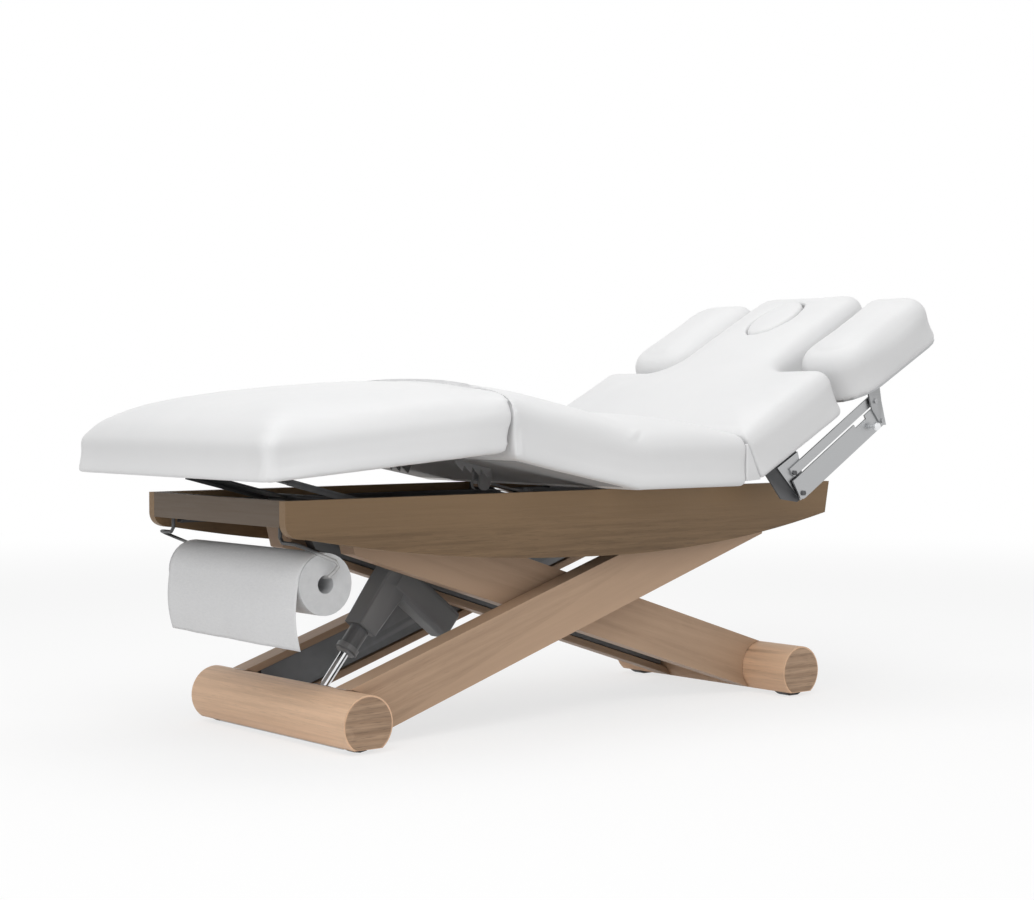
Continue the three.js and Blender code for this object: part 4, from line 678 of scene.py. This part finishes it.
def cut_plane(obj, point, normal):
    """Keeps what lies behind the plane and closes the cut."""
    bm = bmesh.new()
    bm.from_mesh(obj.data)
    everything = bm.verts[:] + bm.edges[:] + bm.faces[:]
    cut = bmesh.ops.bisect_plane(bm, geom=everything, plane_co=point, plane_no=normal, clear_outer=True)
    edges = [item for item in cut["geom_cut"] if isinstance(item, bmesh.types.BMEdge)]
    bmesh.ops.contextual_create(bm, geom=edges)
    bm.to_mesh(obj.data)
    bm.free()
    face_outwards(obj)


def joined(name, *objects):
    """One object with the meshes of all of them, which are removed."""
    bm = bmesh.new()
    for obj in objects:
        bm.from_mesh(obj.data)
        bpy.data.objects.remove(obj)
    whole = mesh_object(name, [], [])
    bm.to_mesh(whole.data)
    bm.free()
    return whole


def apply_all(obj):
    """The mesh that the modifiers give, as the object's own."""
    bpy.context.view_layer.update()
    graph = bpy.context.evaluated_depsgraph_get()
    mesh = bpy.data.meshes.new_from_object(obj.evaluated_get(graph))
    obj.modifiers.clear()
    obj.data = mesh


def vectors(mesh, name):
    """One vector for each vertex, its place ("co") or its "normal", as rows of an array."""
    flat = np.empty(len(mesh.vertices) * 3, dtype=np.float32)
    mesh.vertices.foreach_get(name, flat)
    return flat.reshape(-1, 3).astype(float)


def set_coordinates(mesh, points):
    """Moves the mesh's vertices to the points."""
    mesh.vertices.foreach_set("co", np.ascontiguousarray(points, dtype=np.float32).ravel())
    mesh.update()


def in_section(matrix, points):
    """World points as millimetres in a section's frame."""
    inverse = np.array(matrix.inverted())
    return (points @ inverse[:3, :3].T + inverse[:3, 3]) / MM


def to_world(matrix, points):
    """Millimetres in a section's frame as world points."""
    forward = np.array(matrix)
    return (points * MM) @ forward[:3, :3].T + forward[:3, 3]


def remesh(obj, kind):
    """Gives the form an even mesh, with its parts melted together and its corners eased."""
    voxel, smoothing = MESHES[kind]
    shape = obj.modifiers.new("remesh", "REMESH")
    shape.mode = "VOXEL"
    shape.voxel_size = voxel
    smooth = obj.modifiers.new("smooth", "SMOOTH")
    smooth.factor = 0.5
    smooth.iterations = smoothing
    apply_all(obj)


def spread(mesh, field, rounds, fixed=None):
    """The field, three values for each vertex, averaged with its neighbours a number of times."""
    edges = np.empty(len(mesh.edges) * 2, dtype=np.int32)
    mesh.edges.foreach_get("vertices", edges)
    first, second = edges[0::2], edges[1::2]
    count = len(mesh.vertices)
    links = np.bincount(first, minlength=count) + np.bincount(second, minlength=count)
    for _ in range(rounds):
        total = np.stack([
            np.bincount(first, field[second, k], count) + np.bincount(second, field[first, k], count)
            for k in range(field.shape[1])
        ], axis=1)
        even = 0.5 * field + 0.5 * total / np.maximum(links, 1)[:, None]
        field = even if fixed is None else np.where(fixed[:, None], field, even)
    return field


def settle(obj, matrix, rounds, from_face):
    """Evens out the top of a cover, but not close to its cut faces."""
    world = vectors(obj.data, "co")
    points = in_section(matrix, world)
    share = np.clip((points[:, 2] - SETTLE_LOW) / (SETTLE_HIGH - SETTLE_LOW), 0, 1)[:, None]
    share *= np.clip((from_face(points) - FACE_KEPT) / FACE_FADE, 0, 1)[:, None]
    even = spread(obj.data, world, rounds)
    set_coordinates(obj.data, world + (even - world) * share ** 2 * (3 - 2 * share))


def inflate(obj, pinned, cap):
    """Blows the cover up as cloth; pinned(points) gives the held vertices, cap the furthest move."""
    start = vectors(obj.data, "co")
    group = obj.vertex_groups.new(name="held")
    held = pinned(start)
    group.add(np.nonzero(held)[0].tolist(), 1.0, "REPLACE")
    cloth = obj.modifiers.new("cloth", "CLOTH")
    cloth.settings.quality = SIM_QUALITY
    cloth.settings.mass = SIM_MASS
    for kind, stiffness in COVER_STIFFNESS.items():
        setattr(cloth.settings, f"{kind}_stiffness", stiffness)
    cloth.settings.vertex_group_mass = "held"
    cloth.settings.use_pressure = True
    cloth.settings.uniform_pressure_force = SIM_PRESSURE
    cloth.settings.effector_weights.gravity = 0
    cloth.collision_settings.use_collision = False
    scene = bpy.context.scene
    for number in range(1, SIM_FRAMES + 1):
        scene.frame_set(number)
    apply_all(obj)
    scene.frame_set(1)
    moved = vectors(obj.data, "co") - start
    size = np.linalg.norm(moved, axis=1, keepdims=True)
    limit = np.where(size > 1e-9, cap * np.tanh(size / cap) / np.maximum(size, 1e-9), 0)
    set_coordinates(obj.data, start + spread(obj.data, moved * limit, SIM_EVENING, held))


def subdivide(obj):
    """Makes the mesh twice as fine, and smooth."""
    shape = obj.modifiers.new("subdivide", "SUBSURF")
    shape.levels = 1
    apply_all(obj)


def fit_section(obj, matrix, top, far_end=None):
    """Scales a cover in its section's frame: its width, its crown and its free end come out as given."""
    points = in_section(matrix, vectors(obj.data, "co"))
    points[:, 1] *= HALF_BED / np.abs(points[:, 1]).max()
    lift = np.clip((points[:, 2] - SIDE_LOW) / (points[:, 2].max() - SIDE_LOW), 0, 1)
    points[:, 2] += lift * (top - points[:, 2].max())
    if far_end is not None:
        reached = points[:, 0].min() if far_end < 0 else points[:, 0].max()
        points[:, 0] += (far_end - reached) * np.clip(points[:, 0] / reached, 0, 1) ** 2
    set_coordinates(obj.data, to_world(matrix, points))


def let_in_board(obj, matrix, low, x0, x1, half=HALF_BED):
    """Presses the underside in over the board, which lies flush in it."""
    points = in_section(matrix, vectors(obj.data, "co"))
    inside = (points[:, 0] > x0 + BOARD_INSET) & (points[:, 0] < x1 - BOARD_INSET)
    inside &= np.abs(points[:, 1]) < half - BOARD_INSET
    under = inside & (points[:, 2] < low + BOARD_DEPTH)
    points[under, 2] = low + BOARD_DEPTH
    set_coordinates(obj.data, to_world(matrix, points))


def fold(obj, matrix, start, end, width, height):
    """A soft ridge across the surface, or a groove where height is below zero, in millimetres."""
    world = vectors(obj.data, "co")
    normals = vectors(obj.data, "normal")
    points = in_section(matrix, world)
    first, last = np.array(start, float), np.array(end, float)
    line = last - first
    share = np.clip((points - first) @ line / (line @ line), 0, 1)
    distance = np.linalg.norm(points - first - share[:, None] * line, axis=1)
    taper = np.sin(np.pi * share) ** 0.6
    amount = height * np.exp(-(distance / width) ** 2) * taper
    set_coordinates(obj.data, world + normals * amount[:, None] * MM)


def close_crease(obj, matrix, distance, weight):
    """Fills the rounded rim at a section's cut end back out to its profile.

    distance(points) is how far each point lies inside the cut, in millimetres, and
    weight(height) is the share of the filling at each height.
    """
    world = vectors(obj.data, "co")
    points = in_section(matrix, world)
    normals = vectors(obj.data, "normal") @ np.array(matrix.to_3x3())
    inside = distance(points)
    profile = np.nonzero((inside > ROUNDING_BAND) & (inside < ROUNDING_BAND + PROFILE_BAND))[0]
    band = np.nonzero(inside < ROUNDING_BAND)[0]
    tree = KDTree(len(profile))
    for i in profile:
        tree.insert((0, points[i, 1], points[i, 2]), int(i))
    tree.balance()
    for i in band:
        _, nearest, _ = tree.find((0, points[i, 1], points[i, 2]))
        normal = normals[nearest, 1:]
        normal = normal / max(np.linalg.norm(normal), 1e-6)
        depth = float((points[nearest, 1:] - points[i, 1:]) @ normal)
        if depth <= 0 or depth > ROUNDING_FADE:
            continue
        share = 1.0
        if depth > ROUNDING:
            share = ROUNDING * (ROUNDING_FADE - depth) / (ROUNDING_FADE - ROUNDING) / depth
        points[i, 1:] += normal * depth * share * weight(points[i, 2])
    set_coordinates(obj.data, to_world(matrix, points))


def finish_pad(obj, body, nodes):
    """Names what a padded skin is made of, rides on and replaces; body is None where it blends."""
    smooth_faces(obj)
    obj.data.materials.clear()
    obj.data.materials.append(LEATHER)
    if nodes:
        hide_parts(*nodes)
    if body:
        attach(obj, body)


def section(x0, x1, first_radius=30):
    """Corners (x, y, radius) of a section as wide as the bed."""
    side = [(x0, -HALF_BED, first_radius), (x1, -HALF_BED, 30)]
    return side + [(x, -y, radius) for x, y, radius in side[::-1]]


def held_near(*planes):
    """Test for vertices within a few millimetres of, or beyond, one of the planes."""
    def test(points):
        held = np.zeros(len(points), dtype=bool)
        for point, normal in planes:
            held |= (points - np.array(point)) @ np.array(normal) > -PIN_REACH
        return held
    return test


def local_plane(matrix, point, normal):
    """World point and normal of a plane that is given in a section's frame."""
    return tuple(matrix @ (Vector(point) * MM)), tuple((matrix.to_3x3() @ Vector(normal)).normalized())


def underside(matrix, low):
    """The plane of a section's underside."""
    return local_plane(matrix, (0, 0, low), (0, 0, -1))


def knee_weight(height):
    """0 at the bottom of the knee crease, 1 over its upper half."""
    share = min(max((height - CREASE_LOW) / CREASE_FADE, 0), 1)
    return share * share * (3 - 2 * share)


def make_seat_and_thigh():
    """Seat and thigh as one cover, which bends at the hinge between them."""
    seat = frame_matrix("leg", 0)
    thigh = frame_matrix("leg", THIGH_TURN)
    first = pad_object("seat_form", section(-RUN_ON, SEAT_LENGTH + SEAT_PAST), FULL, LOW, seat, SWELL)
    back_face = local_plane(seat, (SEAT_LENGTH - CUT_PLAY, 0, 0), (1, 0, 0))
    cut_plane(first, *back_face)
    cut_plane(first, *local_plane(seat, (-HINGE_LAP, 0, 0), (-1, 0, SEAT_LEAN)))
    second = pad_object("thigh_form", section(-THIGH_LENGTH - RUN_ON, RUN_ON), FULL, LOW, thigh, SWELL)
    knee_face = local_plane(thigh, (-THIGH_LENGTH + CUT_PLAY, 0, 0), (-1, 0, -KNEE_LEAN))
    cut_plane(second, *knee_face)
    cut_plane(second, *local_plane(thigh, (HINGE_LAP, 0, 0), (1, 0, SEAT_LEAN)))
    whole = joined("seat_thigh_cushion", first, second)
    remesh(whole, "section")
    seat_low, thigh_low = underside(seat, LOW), underside(thigh, LOW)
    line = place_of("leg").x

    def held(points):
        over_seat = points[:, 0] > line
        under = np.where(over_seat, held_near(seat_low)(points), held_near(thigh_low)(points))
        return under | held_near(back_face, knee_face)(points)

    def from_ends(points):
        return np.minimum(SEAT_LENGTH - points[:, 0], points[:, 0] + THIGH_LENGTH)

    def from_knee(points):
        return (points[:, 0] + THIGH_LENGTH - CUT_PLAY) + KNEE_LEAN * points[:, 2]

    inflate(whole, held, SIM_CAP["section"])
    settle(whole, seat, SEAT_SETTLES, from_ends)
    subdivide(whole)
    fit_section(whole, seat, CROWN_TOP + THIGH_LENGTH * math.sin(math.radians(-THIGH_TURN)))
    close_crease(whole, thigh, from_knee, knee_weight)
    crease_hinge(whole, seat, thigh)
    let_in_board(whole, seat, LOW, HINGE_LAP - BOARD_INSET, SEAT_LENGTH + BOARD_INSET)
    return whole


# Start and end (x, inset from the side, z), width and height of the folds at a hinge
SEAT_FOLDS = (
    ((-34, 16, 2), (26, 52, 26), 6.5, 1.9),
    ((-12, 16, -2), (44, 52, 22), 5.0, -1.5),
    ((-58, 52, 24), (-18, 96, 36), 6.0, 1.5),
    ((4, 52, 22), (52, 88, 34), 6.0, 1.4),
    ((-4, 0, -60), (4, 6, -6), 9.0, -1.6),
)
KNEE_FOLDS = (
    ((34, 0, -100), (22, 0, -34), 4.5, -1.8),
    ((46, 0, -104), (32, 0, -52), 4.5, 1.3),
)


def crease_hinge(obj, seat, thigh):
    """Soft pulls in the cover where the seat and the thigh section bend, and by the knee."""
    for sign in (-1, 1):
        for matrix, hinge_x, folds in ((seat, 0, SEAT_FOLDS), (thigh, -THIGH_LENGTH, KNEE_FOLDS)):
            for start, end, width, height in folds:
                ends = [(hinge_x + x, sign * (HALF_BED - inset), z) for x, inset, z in (start, end)]
                fold(obj, matrix, *ends, width, height)


def taper_calf(obj, matrix):
    """The calf pad grows thicker at its sides towards the knee, while its crown flattens."""
    points = in_section(matrix, vectors(obj.data, "co"))
    towards_knee = np.clip((points[:, 0] + CALF_LENGTH) / CALF_LENGTH, 0, 1)
    inset = np.minimum(points[:, 0] + CALF_LENGTH, HALF_BED - np.abs(points[:, 1]))
    share = np.clip((inset - CALF["edge"]) / (CALF["reach"] - CALF["edge"]), 0, 1)
    crown = 1 - (1 - share) ** CALF_DOME
    lift = np.clip((points[:, 2] - SIDE_LOW) / (CALF_SIDE_TOP - SIDE_LOW), 0, 1)
    points[:, 2] += lift * towards_knee * (CALF_GROWS - CALF_FLATTENS * crown)
    set_coordinates(obj.data, to_world(matrix, points))


def make_calf():
    """The calf section, with the highest crown and rounder corners at its free end."""
    matrix = frame_matrix("knee", CALF_TURN)
    corners = section(-CALF_LENGTH, RUN_ON, first_radius=48)
    calf = pad_object("calf_cushion_skin", corners, CALF, CALF_LOW, matrix, SWELL)
    knee_face = local_plane(matrix, (-CUT_PLAY, 0, 0), (1, 0, -KNEE_LEAN))
    cut_plane(calf, *knee_face)

    def from_knee(points):
        return KNEE_LEAN * points[:, 2] - points[:, 0] - CUT_PLAY

    remesh(calf, "section")
    inflate(calf, held_near(knee_face, underside(matrix, CALF_LOW)), SIM_CAP["section"])
    settle(calf, matrix, CALF_SETTLES, from_knee)
    subdivide(calf)
    fit_section(calf, matrix, CALF_TOP, -CALF_LENGTH)
    taper_calf(calf, matrix)
    close_crease(calf, matrix, from_knee, knee_weight)
    let_in_board(calf, matrix, CALF_LOW, -CALF_LENGTH, 0)
    return calf


FACE_AT, FACE_HALF_LENGTH, FACE_HALF_WIDTH = 590, 95, 62
FACE_LEDGE_Z, FACE_LEDGE, FACE_PLAY = -45, 14, 1.5
FACE_WALL, FACE_WALL_TOP = 7, 12
FACE_CUT_LOW, FACE_CUT_HIGH = -150, 80
OVAL_STEPS = 72

# Face plug: its rings (inset, height) above its foot and from its top
PLUG_SINK, PLUG_PLAY, PLUG_HELD = 5.5, 1.6, 16
PLUG_FOOT = ((4, 0.6), (PLUG_PLAY, 5))
PLUG_TOP = ((PLUG_PLAY, -14), (2.6, -8), (6, -3.5), (13, -1), (26, 1.2), (44, 2.4))


def oval_loop(half_length, half_width):
    """Points of an oval about the middle of the face hole, in the back's frame."""
    turns = (2 * math.pi * i / OVAL_STEPS for i in range(OVAL_STEPS))
    return [Vector((FACE_AT + half_length * math.cos(t), half_width * math.sin(t))) for t in turns]


def oval_form(name, matrix, rings):
    """A lofted oval, through (inset, height) rings, in the back's frame."""
    loops = []
    for inset, height in rings:
        loop = oval_loop(FACE_HALF_LENGTH - inset, FACE_HALF_WIDTH - inset)
        loops.append([matrix @ (Vector((p.x, p.y, height)) * MM) for p in loop])
    return mesh_object(name, *loft(loops))


def subtract(obj, cutter):
    """Cuts the cutter's shape out of the object and removes the cutter."""
    cut = obj.modifiers.new("cut", "BOOLEAN")
    cut.operation = "DIFFERENCE"
    cut.solver = "EXACT"
    cut.object = cutter
    apply_all(obj)
    bpy.data.objects.remove(cutter)


def back_corners():
    """Corners (x, y, radius) of the back: wide up to the shoulder, then a neck between the arm pads."""
    one_side = [(BACK_START, HALF_BED, 30), (SHOULDER, HALF_BED, 48)]
    one_side += [(SHOULDER, HALF_NECK, 56), (BACK_LENGTH, HALF_NECK, 64)]
    return [(x, -y, radius) for x, y, radius in one_side] + one_side[::-1]


def in_oval(points, grow):
    """Which points lie over the face hole, grown by a few millimetres."""
    along = (points[:, 0] - FACE_AT) / (FACE_HALF_LENGTH + grow)
    across = points[:, 1] / (FACE_HALF_WIDTH + grow)
    return along ** 2 + across ** 2 < 1


def make_back():
    """The back with its neck, and the hole with a ledge that holds the face plug."""
    matrix = frame_matrix("back", BACK_TURN)
    back = pad_object("back_cushion_skin", back_corners(), BACK, LOW, matrix, SWELL)
    seat_face = local_plane(matrix, (CUT_PLAY, 0, 0), (-1, 0, 0))
    cut_plane(back, *seat_face)
    way = [(FACE_LEDGE, FACE_CUT_LOW), (FACE_LEDGE, FACE_LEDGE_Z - 1)]
    way += [(-FACE_PLAY, FACE_LEDGE_Z), (-FACE_PLAY, FACE_CUT_HIGH)]
    subtract(back, oval_form("face_cut", matrix, way))
    remesh(back, "back")
    near_faces = held_near(seat_face, underside(matrix, LOW))

    def held(points):
        local = in_section(matrix, points)
        return near_faces(points) | (in_oval(local, FACE_WALL) & (local[:, 2] < FACE_WALL_TOP))

    inflate(back, held, SIM_CAP["back"])
    subdivide(back)
    fit_section(back, matrix, BACK_TOP, BACK_LENGTH)
    let_in_board(back, matrix, LOW, 0, SHOULDER)
    let_in_board(back, matrix, LOW, SHOULDER - BOARD_LAP, BACK_LENGTH, HALF_NECK)
    return back


def make_plug():
    """The face plug: an oval pad that fills the hole, its top just under the cushion's crown."""
    matrix = frame_matrix("back", BACK_TURN)
    top = BACK_TOP - PLUG_SINK
    rings = [(inset, FACE_LEDGE_Z + height) for inset, height in PLUG_FOOT]
    rings += [(inset, top + height) for inset, height in PLUG_TOP]
    plug = oval_form("face_plug_skin", matrix, rings)
    remesh(plug, "plug")
    near_under = held_near(underside(matrix, FACE_LEDGE_Z))

    def held(points):
        return near_under(points) | (in_section(matrix, points)[:, 2] < top - PLUG_HELD)

    inflate(plug, held, SIM_CAP["plug"])
    subdivide(plug)
    return plug



# Fold between seat and back, in millimetres; its bevel is in metres
WEDGE_SINK, WEDGE_PLAY, WEDGE_ROUND, WEDGE_STEPS = 5.0, 0.8, 5.0, 24
WEDGE_LEAST, WEDGE_LIFT, WEDGE_EASE = 1.2, 3, 24
WEDGE_DEPTHS = (-14, -34, -56, -78, -98)
WEDGE_EDGE, WEDGE_EDGE_STEPS = 0.0025, 3


def make_wedge():
    """The tucked fold of cover between the seat and the raised back."""
    seat = frame_matrix("back", 0)
    half = HALF_BED - WEDGE_SINK
    opening = math.tan(math.radians(BACK_TURN / 2)) * 2
    loops = []
    for step in range(WEDGE_STEPS + 1):
        share = 2 * step / WEDGE_STEPS - 1
        y = half * math.sin(share * math.pi / 2)
        inset = WEDGE_PLAY + WEDGE_ROUND / 2 * abs(share) ** WEDGE_EASE
        loop = [Vector((inset, y, depth)) for depth in WEDGE_DEPTHS]
        for depth in reversed(WEDGE_DEPTHS):
            x = max(-depth * opening - inset, WEDGE_LEAST)
            loop.append(Vector((x, y, depth + WEDGE_LIFT)))
        loops.append([seat @ (point * MM) for point in loop])
    wedge = mesh_object("seat_back_fold", *loft(loops))
    face_outwards(wedge)
    soften = wedge.modifiers.new("soften", "BEVEL")
    soften.width = WEDGE_EDGE
    soften.segments = WEDGE_EDGE_STEPS
    soften.limit_method = "ANGLE"
    apply_all(wedge)
    return wedge


# Corners (x, y, radius) of the far arm pad
PAD_CORNERS = [(368, 200, 90), (750, 200, 50), (750, 415, 82), (368, 415, 95)]


def pad_corners(sign):
    """Corners of an arm pad, as listed on the far side and mirrored on the near side."""
    return PAD_CORNERS if sign > 0 else [(x, -y, radius) for x, y, radius in reversed(PAD_CORNERS)]


def make_arm_pad(side, sign):
    """An arm pad beside the neck, where it lies with the back."""
    matrix = frame_matrix("back", BACK_TURN)
    pad = pad_object(f"arm_pad_skin_{side}", pad_corners(sign), ARM_PAD, LOW, matrix, PAD_SWELL)
    remesh(pad, "arm_pad")
    inflate(pad, held_near(underside(matrix, LOW)), SIM_CAP["arm_pad"])
    subdivide(pad)
    return pad


seat_thigh = make_seat_and_thigh()
finish_pad(seat_thigh, None, ("seat_cushion", "thigh_cushion"))
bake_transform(seat_thigh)
finish_pad(make_calf(), "calf", ("calf_cushion",))
finish_pad(make_back(), "back", ("back_cushion",))
seat_back_fold = make_wedge()
finish_pad(seat_back_fold, None, ())
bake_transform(seat_back_fold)
finish_pad(make_plug(), "face_plug", ("face_plug",))
for side, sign in SIDES:
    finish_pad(make_arm_pad(side, sign), f"arm_pad_{side}", (f"arm_pad_{side}",))


# Paper
PAPER_THICK = 0.0005
PAPER_SLACK = 0.0015
WRAP_FROM, WRAP, WRAP_STEPS = 72, 108, 14
HANG_STEPS, SHEET_ACROSS = 18, 60
SHEET_BOW, SHEET_TUCK = 0.006, 0.004
WAVES = ((0.0016, 31, 1.1), (0.0008, 73, 0))
EDGE_CURL, HEM_DROP = 0.003, 0.004


def sheet_course(centre, radius, low):
    """(x, z) points from the back of the roll's top, round its foot side and straight down."""
    course = []
    for step in range(WRAP_STEPS + 1):
        turn = math.radians(WRAP_FROM + WRAP * step / WRAP_STEPS)
        course.append((centre.x + radius * math.cos(turn), centre.z + radius * math.sin(turn)))
    for step in range(1, HANG_STEPS + 1):
        share = step / HANG_STEPS
        bow = SHEET_BOW * math.sin(math.pi * share) - SHEET_TUCK * share ** 3
        course.append((centre.x - radius - bow, centre.z + (low - centre.z) * share))
    return course


def make_sheet():
    """The paper that hangs off the roll, with a slight wave and a hem that isn't quite level."""
    centre = place_of("paper_roll_spin")
    low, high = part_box("paper_sheet")
    radius = high[2] - centre.z - PAPER_SLACK
    course = sheet_course(centre, radius, low[2])
    across = SHEET_ACROSS
    vertices, faces = [], []
    for step, (x, z) in enumerate(course):
        hang = max(step - WRAP_STEPS, 0) / HANG_STEPS
        for i in range(across + 1):
            y = low[1] + (high[1] - low[1]) * i / across
            wave = hang ** 1.5 * sum(size * math.sin(y * rate + start) for size, rate, start in WAVES)
            curl = EDGE_CURL * hang ** 2 * (2 * i / across - 1) ** 6
            drop = HEM_DROP * hang ** 3 * (i / across)
            vertices.append((x + wave + curl, y, z + drop))
    for step in range(len(course) - 1):
        for i in range(across):
            a = step * (across + 1) + i
            faces.append((a, a + 1, a + across + 2, a + across + 1))
    sheet = mesh_object("paper_sheet_hung", vertices, faces)
    smooth_faces(sheet)
    thick = sheet.modifiers.new("thickness", "SOLIDIFY")
    thick.thickness = PAPER_THICK
    thick.offset = 0
    sheet.data.materials.append(PAPER)
    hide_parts("paper_sheet")
    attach(sheet, "upper_frame")


make_sheet()
dress("paper_roll", PAPER_EDGE, 0)
for side, _ in SIDES:
    dress(f"wheel_{side}", RUBBER, 0)


# Wooden discs in the ends of the beams
BEAM_AXIS = 0.0605
DISC = {"radius": 0.0578, "proud": 0.0018, "sunk": 0.0006, "round": 0.0012, "sole": 0.0488, "steps": 96}


def make_disc(name, body, centre, sign):
    """A turned end plate with a softened rim, let into the end of a beam."""
    radius, proud, rim = DISC["radius"], DISC["proud"], DISC["round"]
    profile = [(radius, -DISC["sunk"]), (radius, proud - rim)]
    profile += [(radius - rim * 0.3, proud - rim * 0.3), (radius - rim, proud)]
    loops = []
    for reach, out in profile:
        loop = []
        for step in range(DISC["steps"]):
            turn = 2 * math.pi * step / DISC["steps"]
            rise = max(reach * math.sin(turn), radius - reach - DISC["sole"])
            loop.append((centre.x + reach * math.cos(turn), centre.y + sign * out, centre.z + rise))
        loops.append(loop)
    disc = mesh_object(name, *loft(loops))
    face_outwards(disc)
    disc.data.materials.append(WOOD_DISC)
    for polygon in disc.data.polygons:
        polygon.use_smooth = len(polygon.vertices) == 4
    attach(disc, body)


for beam in ("foot", "head"):
    low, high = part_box(f"{beam}_beam")
    axis = Vector(((low[0] + high[0]) / 2, 0, BEAM_AXIS))
    for side, sign in SIDES:
        axis.y = high[1] if sign > 0 else low[1]
        make_disc(f"{beam}_disc_{side}", f"{beam}_base", axis, sign)
